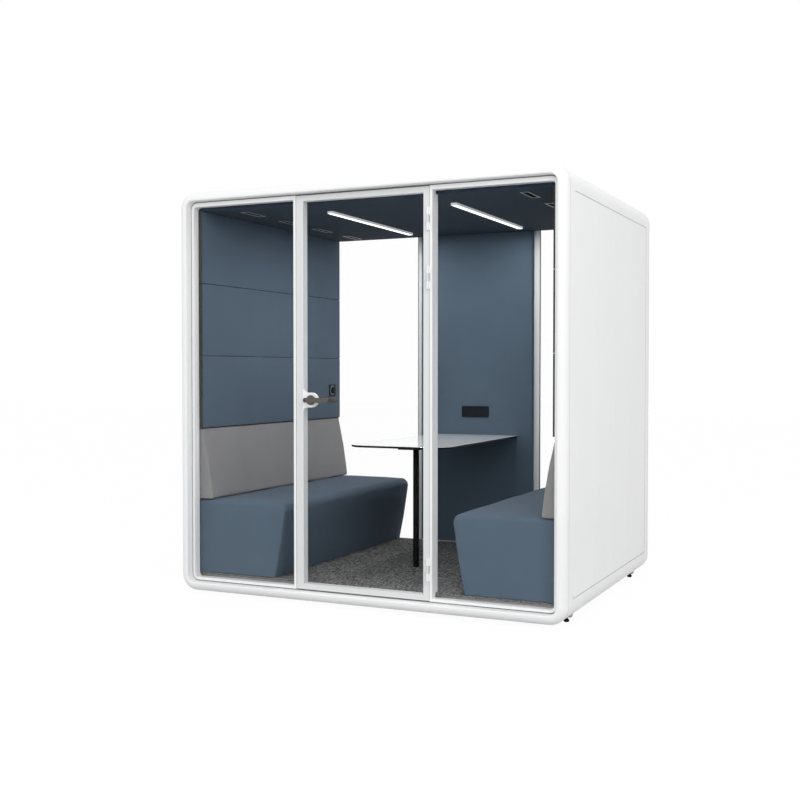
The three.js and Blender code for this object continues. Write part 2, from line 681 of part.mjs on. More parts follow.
const GLASS_FRONT = -FACE + GLASS_SETBACK;
const OUTER_LEVER_Y = DOOR_Y0 - LEVER_GAP;
const INNER_LEVER_Y = DOOR_Y1 + LEVER_GAP;
const innerRosetteShape = holed(circleShape(LOCK_X, LOCK_Z, INNER_ROSETTE_RADIUS), SPINDLE_HOLE);
const spindle = cylinder(
  AXIS_Y, SPINDLE_RADIUS, LOCK_X, (OUTER_LEVER_Y + INNER_LEVER_Y) / 2 - GAP, LOCK_Z,
  INNER_LEVER_Y - OUTER_LEVER_Y - GAP);
addPiece('outer_rosette', extrudeY(outerRosetteShape(), DOOR_Y0, GLASS_FRONT - GAP), WHITE);
addPiece(
  'inner_rosette', extrudeY(innerRosetteShape, GLASS_FRONT + GLASS_THICKNESS + GAP, DOOR_Y1), STEEL);
addPiece('outer_lever', join(lever(OUTER_LEVER_Y, -1), spindle), STEEL);
addPiece('inner_lever', lever(INNER_LEVER_Y, 1), STEEL);

const LATCH_Y = (DOOR_Y0 + DOOR_Y1) / 2;
addPiece(
  'latch_bolt',
  box(
    -DOOR_HALF - LATCH_REACH, -DOOR_HALF + LATCH_LENGTH,
    LATCH_Y - LATCH_THICKNESS / 2, LATCH_Y + LATCH_THICKNESS / 2,
    LOCK_Z - LATCH_HEIGHT / 2, LOCK_Z + LATCH_HEIGHT / 2),
  STEEL);

// Benches: an upholstered block whose face leans in towards the floor, and a wedge back
function benchShape() {
  const shape = new THREE.Shape();
  const lean = Math.atan2(BENCH_FRONT_FOOT - BENCH_FRONT_TOP, BENCH_TOP - CARPET_TOP);
  const noseX = BENCH_FRONT_TOP + BENCH_NOSE;
  const noseZ = BENCH_TOP - BENCH_NOSE;
  shape.moveTo(BENCH_BACK, CARPET_TOP + GAP);
  shape.lineTo(BENCH_BACK, BENCH_TOP);
  shape.quadraticCurveTo((BENCH_BACK + noseX) / 2, BENCH_TOP + 2 * BENCH_CROWN, noseX, BENCH_TOP);
  shape.absarc(noseX, noseZ, BENCH_NOSE, Math.PI / 2, Math.PI + lean, false);
  shape.lineTo(BENCH_FRONT_FOOT, CARPET_TOP + GAP);
  return shape;
}

function backrestShape() {
  const shape = new THREE.Shape();
  const z0 = BENCH_TOP + BENCH_CROWN + GAP;
  const z1 = LINING_SEAMS[0] - LINING_JOINT / 2;
  shape.moveTo(BENCH_BACK, z0);
  shape.lineTo(BENCH_BACK, z1);
  shape.lineTo(BACKREST_HEAD + BACKREST_ROUND, z1);
  shape.quadraticCurveTo(
    BACKREST_HEAD, z1, BACKREST_HEAD - BACKREST_HEAD_LEAN, z1 - BACKREST_ROUND);
  shape.quadraticCurveTo(
    (BACKREST_FOOT + BACKREST_HEAD) / 2 - 2 * BACKREST_CROWN, (z0 + z1) / 2,
    BACKREST_FOOT, z0 + BACKREST_ROUND);
  shape.quadraticCurveTo(BACKREST_FOOT, z0, BACKREST_FOOT + BACKREST_ROUND, z0);
  return shape;
}

const BENCH_Y0 = CABIN_Y0 + BENCH_END_GAP;
const BENCH_Y1 = CABIN_Y1 - BENCH_END_GAP;
const bench = extrudeY(benchShape(), BENCH_Y0, BENCH_Y1, BENCH_END_ROUND);
const backrest = extrudeY(backrestShape(), BENCH_Y0, BENCH_Y1, BACKREST_ROUND / 2);
addPiece('right_bench', bench, BLUE_FABRIC);
addPiece('left_bench', mirrored(bench), BLUE_FABRIC);
addPiece('right_backrest', backrest, GREY_FABRIC);
addPiece('left_backrest', mirrored(backrest), GREY_FABRIC);

// Table
function tableShape() {
  const shape = new THREE.Shape();
  const back = REAR_LINING_FACE - GAP;
  const inner = TABLE_FRONT_HALF - TABLE_CORNER;
  shape.moveTo(-TABLE_BACK_HALF, back);
  shape.lineTo(-TABLE_FRONT_HALF, TABLE_FRONT + TABLE_CORNER);
  shape.absarc(-inner, TABLE_FRONT + TABLE_CORNER, TABLE_CORNER, Math.PI, 1.5 * Math.PI, false);
  shape.absarc(inner, TABLE_FRONT + TABLE_CORNER, TABLE_CORNER, 1.5 * Math.PI, 2 * Math.PI, false);
  shape.lineTo(TABLE_BACK_HALF, back);
  return shape;
}

const TABLE_UNDERSIDE = TABLE_TOP - TABLE_THICKNESS;
const BRACKET_BOTTOM = TABLE_UNDERSIDE - GAP - BRACKET_THICKNESS;
addPiece('table_top', extrudeZ(tableShape(), TABLE_UNDERSIDE, TABLE_TOP), LAMINATE);
addPiece(
  'table_bracket',
  box(
    -BRACKET_HALF_X, BRACKET_HALF_X, POST_Y - BRACKET_HALF_Y, POST_Y + BRACKET_HALF_Y,
    BRACKET_BOTTOM, TABLE_UNDERSIDE - GAP),
  BLACK_METAL);
addPiece(
  'table_post',
  extrudeZ(circleShape(0, POST_Y, POST_RADIUS), CARPET_TOP + GAP, BRACKET_BOTTOM - GAP),
  BLACK_METAL);

// Ceiling lamps: a channel under the ceiling with a diffuser bar in it
function lampPieces() {
  const x0 = LAMP_X - LAMP_WIDTH / 2;
  const x1 = LAMP_X + LAMP_WIDTH / 2;
  const z1 = CEILING - GAP;
  const z0 = z1 - LAMP_HEIGHT;
  const housing = cut(
    box(x0, x1, LAMP_FRONT, LAMP_BACK, z0, z1),
    box(
      x0 + LAMP_WALL, x1 - LAMP_WALL, LAMP_FRONT + LAMP_WALL, LAMP_BACK - LAMP_WALL,
      z0 - OVERSHOOT, z1 - LAMP_WALL));
  const inset = LAMP_WALL + GAP;
  const diffuser = box(
    x0 + inset, x1 - inset, LAMP_FRONT + inset, LAMP_BACK - inset, z0 - OVERSHOOT, z1 - inset);
  return [housing, diffuser];
}

const [lampHousing, lampDiffuser] = lampPieces();
addPiece('right_lamp_housing', lampHousing, ALUMINIUM);
addPiece('left_lamp_housing', mirrored(lampHousing), ALUMINIUM);
addPiece('right_lamp_diffuser', lampDiffuser, DIFFUSER);
addPiece('left_lamp_diffuser', mirrored(lampDiffuser), DIFFUSER);

// Air ducts above the ceiling, each with four collars that end just under it
function duct() {
  const z0 = CEILING + CEILING_THICKNESS + GAP;
  const z1 = z0 + DUCT_HEIGHT;
  const half = VENT_WIDTH / 2 + DUCT_MARGIN;
  const reach = VENT_LENGTH / 2 + DUCT_MARGIN;
  const [y0, y1] = [ventCentres()[0] - reach, ventCentres()[VENT_COUNT - 1] + reach];
  const body = box(VENT_X - half, VENT_X + half, y0, y1, z0, z1);
  const hollow = box(
    VENT_X - half + VENT_WALL, VENT_X + half - VENT_WALL, y0 + VENT_WALL, y1 - VENT_WALL,
    z0 + VENT_WALL, z1 - VENT_WALL);
  const collars = ventBlock(0, CEILING - COLLAR_DROP, z0 + OVERSHOOT);
  const slots = ventBlock(-VENT_WALL, CEILING - COLLAR_DROP - OVERSHOOT, z0 + VENT_WALL + OVERSHOOT);
  const inlet = box(
    VENT_X - half - OVERSHOOT, VENT_X - half + VENT_WALL + OVERSHOOT, FAN_Y - FAN_BORE, FAN_Y + FAN_BORE,
    z0 + VENT_WALL, z1 - VENT_WALL);
  return cut(join(body, ...collars), hollow, ...slots, inlet);
}

addPiece('right_air_duct', duct(), BLACK_PLASTIC);
addPiece('left_air_duct', mirrored(duct()), BLACK_PLASTIC);

// Fan above the ceiling
const FAN_Z0 = CEILING + CEILING_THICKNESS + GAP;

function fanFrame() {
  const half = FAN_SIDE / 2;
  const outline = roundRect(-half, half, FAN_Y - half, FAN_Y + half, Array(4).fill(FAN_CORNER));
  const ring = extrudeZ(holed(outline, circleShape(0, FAN_Y, FAN_BORE)), FAN_Z0, FAN_Z0 + FAN_HEIGHT);
  const reach = FAN_BORE + FAN_SPOKE_REACH;
  const low = FAN_Z0 + FAN_SPOKE_LIFT;
  const spokes = [0, Math.PI / 2].map((angle) =>
    box(-reach, reach, -FAN_SPOKE, FAN_SPOKE, low, low + FAN_SPOKE).rotateZ(angle).translate(0, FAN_Y, 0));
  return join(ring, ...spokes);
}

function fanImpeller() {
  const z = FAN_Z0 + FAN_HEIGHT / 2 + FAN_HUB_LIFT;
  const hub = cylinder(AXIS_Z, FAN_HUB, 0, 0, 0, FAN_HUB_LENGTH);
  const thick = FAN_BLADE_THICKNESS / 2;
  const wide = FAN_BLADE_WIDTH / 2;
  const blades = Array.from({ length: FAN_BLADES }, (unused, i) => {
    const blade = box(FAN_HUB - FAN_BLADE_ROOT, FAN_BORE - FAN_BLADE_GAP, -thick, thick, -wide, wide);
    return blade.rotateX(Math.PI / 4).rotateZ((2 * Math.PI * i) / FAN_BLADES);
  });
  return join(hub, ...blades).translate(0, FAN_Y, z);
}

addPiece('fan_frame', fanFrame(), BLACK_PLASTIC);
addPiece('fan_impeller', fanImpeller(), BLACK_PLASTIC);

// Power outlet on the back wall and control on the left wall
function powerPlate() {
  const half = POWER_WIDTH / 2;
  const [z0, z1] = [POWER_Z - POWER_HEIGHT / 2, POWER_Z + POWER_HEIGHT / 2];
  const y1 = REAR_LINING_FACE - GAP;
  const y0 = y1 - POWER_THICKNESS;
  const outline = roundRect(-half, half, z0, z1, Array(4).fill(POWER_CORNER));
  const plate = extrudeY(outline, y0, y1, EDGE_ROUND);
  const recess = box(
    -half + POWER_RIM, half - POWER_RIM, y0 - OVERSHOOT, y0 + POWER_RECESS, z0 + POWER_RIM, z1 - POWER_RIM);
  return cut(plate, recess);
}

const CONTROL_FACE = -LINING_FACE + GAP + CONTROL_THICKNESS;
addPiece('power_outlet', powerPlate(), BLACK_PLASTIC);
addPiece(
  'control_plate',
  extrudeX(
    roundRect(
      CONTROL_Y - CONTROL_WIDTH / 2, CONTROL_Y + CONTROL_WIDTH / 2,
      CONTROL_Z - CONTROL_HEIGHT / 2, CONTROL_Z + CONTROL_HEIGHT / 2, Array(4).fill(CONTROL_CORNER)),
    -LINING_FACE + GAP, CONTROL_FACE, EDGE_ROUND),
  BLACK_PLASTIC);
addPiece(
  'control_knob',
  extrudeX(
    circleShape(CONTROL_Y, CONTROL_Z, KNOB_RADIUS),
    CONTROL_FACE + GAP, CONTROL_FACE + GAP + KNOB_LENGTH, KNOB_ROUND),
  BLACK_PLASTIC);

// Levelling feet and wheels under the base
const CORNER_NAMES = [['left', -1], ['right', 1]];

function foot(x, y) {
  const slope = FOOT_ROUND * (1 - Math.SQRT1_2);
  const profile = [
    [0, 0], [FOOT_RADIUS - FOOT_ROUND, 0], [FOOT_RADIUS - slope, slope], [FOOT_RADIUS, FOOT_ROUND],
    [FOOT_RADIUS, FOOT_PAD - FOOT_TOP_ROUND], [FOOT_RADIUS - FOOT_TOP_ROUND, FOOT_PAD],
    [FOOT_STEM_RADIUS, FOOT_PAD], [FOOT_STEM_RADIUS, FOOT_STEM_TOP], [0, FOOT_STEM_TOP],
  ].map(([radius, height]) => new THREE.Vector2(radius, height));
  return new THREE.LatheGeometry(profile, ROUND_SIDES).rotateX(Math.PI / 2).translate(x, y, 0);
}

function wheel(x, y) {
  const half = WHEEL_WIDTH / 2;
  const reach = half + AXLE_REACH;
  const profile = [
    [0, -reach], [AXLE_RADIUS, -reach], [AXLE_RADIUS, -half], [WHEEL_RADIUS - WHEEL_ROUND, -half],
    [WHEEL_RADIUS, -half + WHEEL_ROUND], [WHEEL_RADIUS, half - WHEEL_ROUND],
    [WHEEL_RADIUS - WHEEL_ROUND, half], [AXLE_RADIUS, half], [AXLE_RADIUS, reach], [0, reach],
  ].map(([radius, height]) => new THREE.Vector2(radius, height));
  const turned = new THREE.LatheGeometry(profile, ROUND_SIDES).rotateZ(-Math.PI / 2);
  return turned.translate(x, y, WHEEL_RADIUS + WHEEL_LIFT);
}

for (const [name, side] of CORNER_NAMES) {
  ['front', 'rear'].forEach((end, i) => {
    addPiece(`${end}_${name}_foot`, foot(side * FOOT_X, FOOT_YS[i]), BLACK_METAL);
    addPiece(`${end}_${name}_wheel`, wheel(side * WHEEL_X, wheelCentres()[i]), GREY_NYLON);
  });
}

export default pod;
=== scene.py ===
# Looks of the acoustic office pod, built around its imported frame.
# Metres, +Z up, the door faces -Y.

import math

import bmesh
import bpy
from mathutils import Matrix, Vector


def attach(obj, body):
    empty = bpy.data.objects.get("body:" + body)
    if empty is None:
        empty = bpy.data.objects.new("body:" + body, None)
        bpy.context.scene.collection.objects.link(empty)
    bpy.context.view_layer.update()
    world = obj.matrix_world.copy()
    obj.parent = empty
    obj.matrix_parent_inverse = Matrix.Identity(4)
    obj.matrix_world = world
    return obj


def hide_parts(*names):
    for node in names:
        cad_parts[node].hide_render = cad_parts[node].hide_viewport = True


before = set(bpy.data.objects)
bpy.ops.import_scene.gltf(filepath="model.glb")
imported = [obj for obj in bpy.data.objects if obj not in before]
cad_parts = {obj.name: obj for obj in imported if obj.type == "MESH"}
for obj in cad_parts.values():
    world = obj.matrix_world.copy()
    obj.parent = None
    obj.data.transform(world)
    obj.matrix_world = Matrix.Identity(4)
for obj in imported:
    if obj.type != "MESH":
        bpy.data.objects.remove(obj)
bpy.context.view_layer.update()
SIDES = (("right", 1), ("left", -1))

# Shell and frames, as in the solids
FIT = 0.0003
FACE = 0.843
CORNER_X = 1.010
CORNER_LOW = 0.110
CORNER_HIGH = 2.114
INNER_RADIUS = 0.040
SHELL_RADIUS = 0.090
SHELL_HALF = CORNER_X + SHELL_RADIUS
SIDE_HALF = 0.763
LOWER_SEAM = 0.135
UPPER_SEAM = 2.087
SIDE_PANEL = (-SIDE_HALF, SIDE_HALF, LOWER_SEAM, UPPER_SEAM)
SIDE_CORNER = 0.0212
ROOF_THICKNESS = 0.020
ROOF_END = SIDE_HALF - FIT
TRIM_WIDTH = SHELL_RADIUS - INNER_RADIUS
TRIM_INNER_ROUND = 0.009
TRIM_OUTER_ROUND = 0.040
TRIM_FORWARD = 0.044
TRIM_BACK = 0.080
TRIM_CHAMFER = 0.001
TRIM_JOINT = 0.010
TRIM_JOINT_HALF = 0.0007
TRIM_REVEAL = 0.010
TRIM_LAP = 0.0045
TRIM_LAP_START = 0.008
TRIM_LAP_CHAMFER = 0.0005
PANE_REAR = (0.418, 1.030, 0.090, 2.127)
PANE_CORNER = 0.020
DOOR_OPENING = (-0.384, 0.384, 0.075, 2.149)
GLASS_FRONT = -0.823
REAR_GLASS_INSIDE = 0.826
SHARP_CORNER = 0.001

# Rounded edges of rigid pieces
SHEET_EDGE = 0.0015
PANEL_EDGE = 0.002
FRAME_EDGE = 0.0012
DOOR_EDGE = 0.0014
CEILING_EDGE = 0.001
HINGE_EDGE = 0.0006
LEVER_EDGE = 0.003
LAMP_EDGE = 0.0008
DIFFUSER_EDGE = 0.0015
OUTLET_EDGE = 0.0006
CONTROL_EDGE = 0.0008

# Seals, and strips that are painted shade in the trim groove and the side seams
REAR_GASKET_WIDTH = 0.004
REAR_GASKET_DEPTH = 0.006
# Painted shade: a grey ring in the groove between trim and frames stands for the shadow in it
GROOVE_SHADE_WIDTH = 0.0039
GROOVE_SHADE_BACK = (0.0055, 0.0079)
DOOR_SEAL_WIDTH = 0.0017
DOOR_SEAL_Y = (-0.838, -0.832)
# Painted shadow: a dark strip down in the seam round each side panel
SEAM_WIDTH = 0.0015
SEAM_DEPTH = 0.005
SEAM_PROUD = 0.0002
SEAM_WHITE_END = -0.74

# Cabin; the wall linings stand a little further in than their solids
CABIN_Y0 = -0.796
CABIN_Y1 = 0.817
CARPET_TOP = 0.112
CARPET_UNDER = 0.1004
CARPET_HALF = 1.043
CEILING = 2.112
LINING_FACE = 1.0065
LINING_BACK = 1.045
LINING_LOW = 0.913
LINING_TOP = 2.111
LINING_ROWS = 3
LINING_PITCH = 0.401
LINING_GAP = 0.002
LINING_EDGE = 0.003
# Depth of the dark strip of painted shade on each lining board's front end
BOARD_EDGE_DEPTH = 0.0016
REAR_LINING = (0.782, 0.8167)
REAR_LINING_HALF = 0.3815
SKIRTING_DEPTH = 0.004
SKIRTING_HEIGHT = 0.009

# Benches and backrests; points are X and Z
BENCH_BACK = 1.044
BENCH_Y = (-0.791, 0.812)
BENCH_TOP = 0.516
BENCH_GAP = 0.0004
BENCH_LOW = CARPET_TOP + BENCH_GAP
BENCH_NOSE = (0.530, 0.474)
NOSE_RADIUS = 0.042
BENCH_FOOT_X = 0.550
BENCH_END_RADII = (0.012, 0.030)
BACK_TOP = 0.9088
BACK_LOW = 0.5188
BACK_RADIUS = 0.012
BACK_HEAD = (1.026, BACK_TOP - BACK_RADIUS)
BACK_FOOT = (0.9605, BACK_LOW + BACK_RADIUS)
BACK_END_RADII = (0.008, 0.010)
END_FULLNESS = 0.0045
BENCH_TOP_SWELL = 0.0025
BENCH_FRONT_SWELL = 0.004
BACK_SWELL = 0.006
FABRIC_RIPPLE = 0.0012
FABRIC_WAVE = 0.0005

# Fabric pattern: radians from end to end of a cover, and from point to point of its section
RIPPLE_ALONG = 17.0
WAVE_ALONG = 23.0
WAVE_AROUND = 0.9

# Carpet pattern: radians from point to point, across and along
PILE_FAST = (12.9898, 78.233)
PILE_SLOW = (1.7, 2.3)
PILE_SWAY = 3.1

# Table
TABLE_TOP = 0.818
TABLE_UNDER = 0.806
TABLE_REAR = 0.7817
TABLE_FRONT = -0.458
TABLE_CORNER = 0.115
TABLE_FRONT_HALF = 0.300
TABLE_BACK_HALF = 0.285
TABLE_CHAMFER = 0.004
LAMINATE_DEPTH = 0.0016
LAMINATE_EASE = 0.0012
POST_PLACE = (0.0, -0.152, 0.0)
POST_RADIUS = 0.017
POST_FOOT = 0.1123
POST_HEAD = 0.7854
POST_EDGE = 0.001

# Door and lock
LOCK_X = -0.294
LOCK_Z = 1.076
DOOR_FRONT = -0.841
DOOR_BACK = -0.797
STILE_EDGE = -0.3395
ROSETTE_RADIUS = 0.039
ROSETTE_FILLET = 0.021
ROSETTE_LAP = 0.004
ROSETTE_PROUD = 0.0002
INNER_ROSETTE_RADIUS = 0.028
INNER_ROSETTE_DEPTH = 0.0157
INNER_ROSETTE_EDGE = 0.0015
LEVER_GAP = 0.0005
LEVER_HALF_HEIGHT = 0.013
LEVER_TAIL = 0.030
LEVER_LENGTH = 0.123
LEVER_STANDOFF = 0.025
LEVER_THICKNESS = 0.012
BOSS_RADIUS = 0.026
BOSS_HEIGHT = 0.008
BOSS_EDGE = 0.002
NECK_RADIUS = 0.011
NECK_LAP = 0.002
NECK_EDGE = 0.0005
SCREW_RADIUS = 0.004
SCREW_SUNK = 0.001
SCREW_PROUD = 0.0005
SCREW_EDGE = 0.0004

# Ceiling, outlet and control
LAMP_X = 0.369
LAMP_Y = 0.045
LAMP_LOW = 2.094
LAMP_GLOW_SIZE = (0.026, 1.06)
VENT_X = 0.817
VENT_COUNT = 4
VENT_FIRST_Y = -0.573
VENT_STEP = 0.402
VENT_HALF = (0.0195, 0.0935)
VENT_RIM = 0.0035
VENT_RIM_DROP = (0.0026, 0.0012)
SLAT_COUNT = 7
SLAT_PITCH = 0.024
SLAT_HALF = 0.0022
SLAT_RISE = (0.002, 0.008)
KNOB_PLACE = (-1.0024, 0.701, 1.098)
KNOB_RADIUS = 0.021
BEZEL_RADIUS = 0.0285
BEZEL_BEAD = 0.0016
BEAD_SIDES = 10

# Feet and wheels
FOOT_X = 1.039
FOOT_YS = {"front": -0.666, "rear": 0.640}
WHEEL_X = 1.030
WHEEL_OFFSET = 0.086
WHEEL_HEIGHT = 0.031

# Radius and height along turned pieces, from end to end; the wheel's is half of it
KNOB_PROFILE = [
    (0.0, 0.0), (KNOB_RADIUS - 0.0005, 0.0), (KNOB_RADIUS, 0.0006), (KNOB_RADIUS, 0.0105),
    (0.0196, 0.0132), (0.0175, 0.0140), (0.0155, 0.0140), (0.0150, 0.0126), (0.0, 0.0122),
]
FOOT_PROFILE = [
    (0.0, 0.0), (0.0090, 0.0), (0.0122, 0.0012), (0.0138, 0.0040), (0.0140, 0.0110), (0.0132, 0.0126),
    (0.0120, 0.0130), (0.0100, 0.0131), (0.0098, 0.0160), (0.0062, 0.0162), (0.0060, 0.0600),
    (0.0, 0.0620),
]
WHEEL_PROFILE = [
    (0.0, 0.019), (0.004, 0.019), (0.004, 0.011), (0.009, 0.011), (0.0095, 0.0085), (0.019, 0.0085),
    (0.0195, 0.0110), (0.0245, 0.0110), (0.0272, 0.0085), (0.0280, 0.0050),
]

# Points this close become one, in new pieces and in copies of solids
WELD = 0.000002
COPY_WELD = 0.00002

# Places of points on the rounded edges of boards, and towards the ends of benches and backrests
EDGE_ANGLES = (0, 30, 50, 65, 78, 90)
END_SHARES = (0.0, 0.02, 0.07, 0.15, 0.27, 0.42, 0.62, 0.82, 1.0)

# Camera and light
LENS = 50.0
SENSOR = 36.0
CAMERA_PLACE = (2.592, -5.917, 1.228)
CAMERA_TILT = 88.51
CAMERA_TURN = 25.04
FLOOR_SIZE = 60.0
FLOOR_GLOW = 0.92
FLOOR_SEEN = 1.04
FLOOR_COLOR = (0.56, 0.56, 0.56)
WORLD_LIGHT = 0.86
KEY_PLACE = (3.76, -5.08, 3.95)
KEY_AIM = (0.0, -0.6, 1.1)
KEY_SIZE = 4.0
KEY_POWER = 138.0
FILL_PLACE = (-4.6, -5.2, 3.2)
FILL_POWER = 42.0
LAMP_POWER = 6.2

# Colours, linear
SHELL_WHITE = (0.895, 0.898, 0.900)
FRAME_GREY = (0.720, 0.735, 0.735)
BLUE_DARK = (0.078, 0.112, 0.155)
BLUE_LIGHT = (0.116, 0.161, 0.211)
# Painted shade: shares that darken the blue fabric for the dim ceiling
CEILING_SHADE = (0.27, 0.31, 0.36)
GREY_DARK = (0.225, 0.223, 0.225)
GREY_LIGHT = (0.315, 0.312, 0.313)
CARPET_DARK = (0.030, 0.030, 0.031)
CARPET_LIGHT = (0.330, 0.327, 0.325)
GLASS_DARK = (0.07, 0.09, 0.09)
GLASS_LIGHT = (0.10, 0.12, 0.12)
BLACK = (0.004, 0.0043, 0.0047)
BLACK_WARM = (0.008, 0.012, 0.015)
LEVER_METAL = (0.108, 0.104, 0.096)
ALUMINIUM = (0.50, 0.51, 0.52)
LAMP_GREY = (0.80, 0.82, 0.85)
OPAL_COOL = (0.97, 0.98, 1.0)
LAMINATE = (0.90, 0.90, 0.905)
NYLON = (0.50, 0.51, 0.50)
# Dark rubber of the seals, also used as painted shadow in the side seams and on the lining boards' front
# ends
GASKET_AND_SHADE = (0.050, 0.053, 0.050)
# Painted shade in the groove between the trims and the frames
GROOVE_GREY = (0.16, 0.165, 0.165)
WHITE = (1.0, 1.0, 1.0)

# Wave textures repeat after this length at a scale of 1; most noise lies within this range
WAVE_PERIOD = 0.314
NOISE_LOW = 0.3
NOISE_HIGH = 0.7


# Node helpers
def new_material(name):
    material = bpy.data.materials.new(name)
    material.use_nodes = True
    nodes = material.node_tree.nodes
    return material, nodes, material.node_tree.links, nodes["Principled BSDF"]


def coordinates(nodes, links, stretch=(1.0, 1.0, 1.0)):
    place = nodes.new("ShaderNodeTexCoord").outputs["Object"]
    mapping = nodes.new("ShaderNodeMapping")
    mapping.inputs["Scale"].default_value = stretch
    links.new(place, mapping.inputs["Vector"])
    return mapping.outputs["Vector"]


def noise(nodes, links, scale, detail=3.0, roughness=0.5, stretch=(1.0, 1.0, 1.0)):
    texture = nodes.new("ShaderNodeTexNoise")
    texture.inputs["Scale"].default_value = scale
    texture.inputs["Detail"].default_value = detail
    texture.inputs["Roughness"].default_value = roughness
    links.new(coordinates(nodes, links, stretch), texture.inputs["Vector"])
    return texture.outputs["Fac"]


def ramp(nodes, links, value, low, high, start=NOISE_LOW, end=NOISE_HIGH):
    node = nodes.new("ShaderNodeValToRGB")
    node.color_ramp.elements[0].position = start
    node.color_ramp.elements[1].position = end
    node.color_ramp.elements[0].color = (*low, 1.0)
    node.color_ramp.elements[1].color = (*high, 1.0)
    links.new(value, node.inputs["Fac"])
    return node.outputs["Color"]


def spread(nodes, links, value, low, high):
    node = nodes.new("ShaderNodeMapRange")
    node.inputs["From Min"].default_value = NOISE_LOW
    node.inputs["From Max"].default_value = NOISE_HIGH
    node.inputs["To Min"].default_value = low
    node.inputs["To Max"].default_value = high
    links.new(value, node.inputs["Value"])
    return node.outputs["Result"]


def bump(nodes, links, height, strength, distance):
    node = nodes.new("ShaderNodeBump")
    node.inputs["Strength"].default_value = strength
    node.inputs["Distance"].default_value = distance
    links.new(height, node.inputs["Height"])
    return node.outputs["Normal"]


def multiplied(nodes, links, first, second):
    node = nodes.new("ShaderNodeMix")
    node.data_type = "RGBA"
    node.blend_type = "MULTIPLY"
    node.inputs["Factor"].default_value = 1.0
    links.new(first, node.inputs["A"])
    links.new(second, node.inputs["B"])
    return node.outputs["Result"]


def combined(nodes, links, operation, values):
    total = values[0]
    for value in values[1:]:
        both = nodes.new("ShaderNodeMath")
        both.operation = operation
        links.new(total, both.inputs[0])
        links.new(value, both.inputs[1])
        total = both.outputs["Value"]
    return total


def shade(color, factor):
    return tuple(channel * factor for channel in color)


# Scales each channel by its own share; it gives the ceiling's fabric its painted shade
def scaled_channels(color, tint):
    return tuple(channel * share for channel, share in zip(color, tint))


# Materials
def coated(
        name, color, roughness, metallic=0.0, grain=700.0, grain_strength=0.05, contrast=0.04,
        specular=0.5):
    """Paint, plastic or metal with a fine grain and slightly uneven colour and gloss."""
    material, nodes, links, shader = new_material(name)
    cloud = noise(nodes, links, scale=3.0, detail=4.0)
    fine = noise(nodes, links, scale=grain, detail=2.0)
    tint = ramp(nodes, links, cloud, shade(color, 1 - contrast), shade(color, 1 + contrast))
    links.new(tint, shader.inputs["Base Color"])
    uneven = noise(nodes, links, scale=24.0)
    gloss = spread(nodes, links, uneven, low=roughness * 0.9, high=roughness * 1.1)
    links.new(gloss, shader.inputs["Roughness"])
    grained = bump(nodes, links, fine, strength=grain_strength, distance=0.0004)
    links.new(grained, shader.inputs["Normal"])
    shader.inputs["Metallic"].default_value = metallic
    shader.inputs["Specular IOR Level"].default_value = specular
    return material


def woven(name, dark, light, pitch=0.0018):
    """Fine plain weave: threads along all three axes, so every flat face shows two of them."""
    material, nodes, links, shader = new_material(name)
    place = coordinates(nodes, links)
    waves = []
    for direction in ("X", "Y", "Z"):
        wave = nodes.new("ShaderNodeTexWave")
        wave.bands_direction = direction
        wave.inputs["Scale"].default_value = WAVE_PERIOD / pitch
        wave.inputs["Distortion"].default_value = 0.6
        wave.inputs["Detail"].default_value = 1.0
        links.new(place, wave.inputs["Vector"])
        waves.append(wave.outputs["Fac"])
    threads = combined(nodes, links, "ADD", waves)
    yarn = noise(nodes, links, scale=420.0, detail=4.0, roughness=0.7)
    heather = ramp(nodes, links, yarn, dark, light, start=0.32, end=0.68)
    cloud = noise(nodes, links, scale=5.0, detail=5.0)
    patch = ramp(nodes, links, cloud, shade(WHITE, 0.93), WHITE)
    links.new(multiplied(nodes, links, heather, patch), shader.inputs["Base Color"])
    relief = bump(nodes, links, threads, strength=0.12, distance=0.0004)
    links.new(relief, shader.inputs["Normal"])
    links.new(spread(nodes, links, threads, low=0.86, high=0.97), shader.inputs["Roughness"])
    shader.inputs["Sheen Weight"].default_value = 0.05
    shader.inputs["Sheen Roughness"].default_value = 0.5
    shader.inputs["Specular IOR Level"].default_value = 0.15
    return material


def loop_pile(name):
    """Heathered carpet: dark loops with scattered pale ones in short rows."""
    material, nodes, links, shader = new_material(name)
    loops = noise(nodes, links, scale=130.0, detail=4.0, roughness=0.7, stretch=(1.0, 0.3, 1.0))
    fleck = ramp(nodes, links, loops, CARPET_DARK, CARPET_LIGHT, start=0.40, end=0.63)
    cloud = noise(nodes, links, scale=2.5, detail=3.0)
    patch = ramp(nodes, links, cloud, shade(WHITE, 0.90), WHITE)
    links.new(multiplied(nodes, links, fleck, patch), shader.inputs["Base Color"])
    relief = bump(nodes, links, loops, strength=0.6, distance=0.003)
    links.new(relief, shader.inputs["Normal"])
    links.new(spread(nodes, links, loops, low=0.9, high=1.0), shader.inputs["Roughness"])
    shader.inputs["Sheen Weight"].default_value = 0.05
    shader.inputs["Specular IOR Level"].default_value = 0.1
    return material


def clear_glass(name):
    """Almost invisible but for its reflections, which are uneven in places."""
    material, nodes, links, shader = new_material(name)
    smear = noise(nodes, links, scale=1.6, detail=4.0)
    links.new(ramp(nodes, links, smear, GLASS_DARK, GLASS_LIGHT), shader.inputs["Base Color"])
    links.new(spread(nodes, links, smear, low=0.015, high=0.035), shader.inputs["Roughness"])
    shader.inputs["Alpha"].default_value = 0.003
    shader.inputs["IOR"].default_value = 1.5
    return material


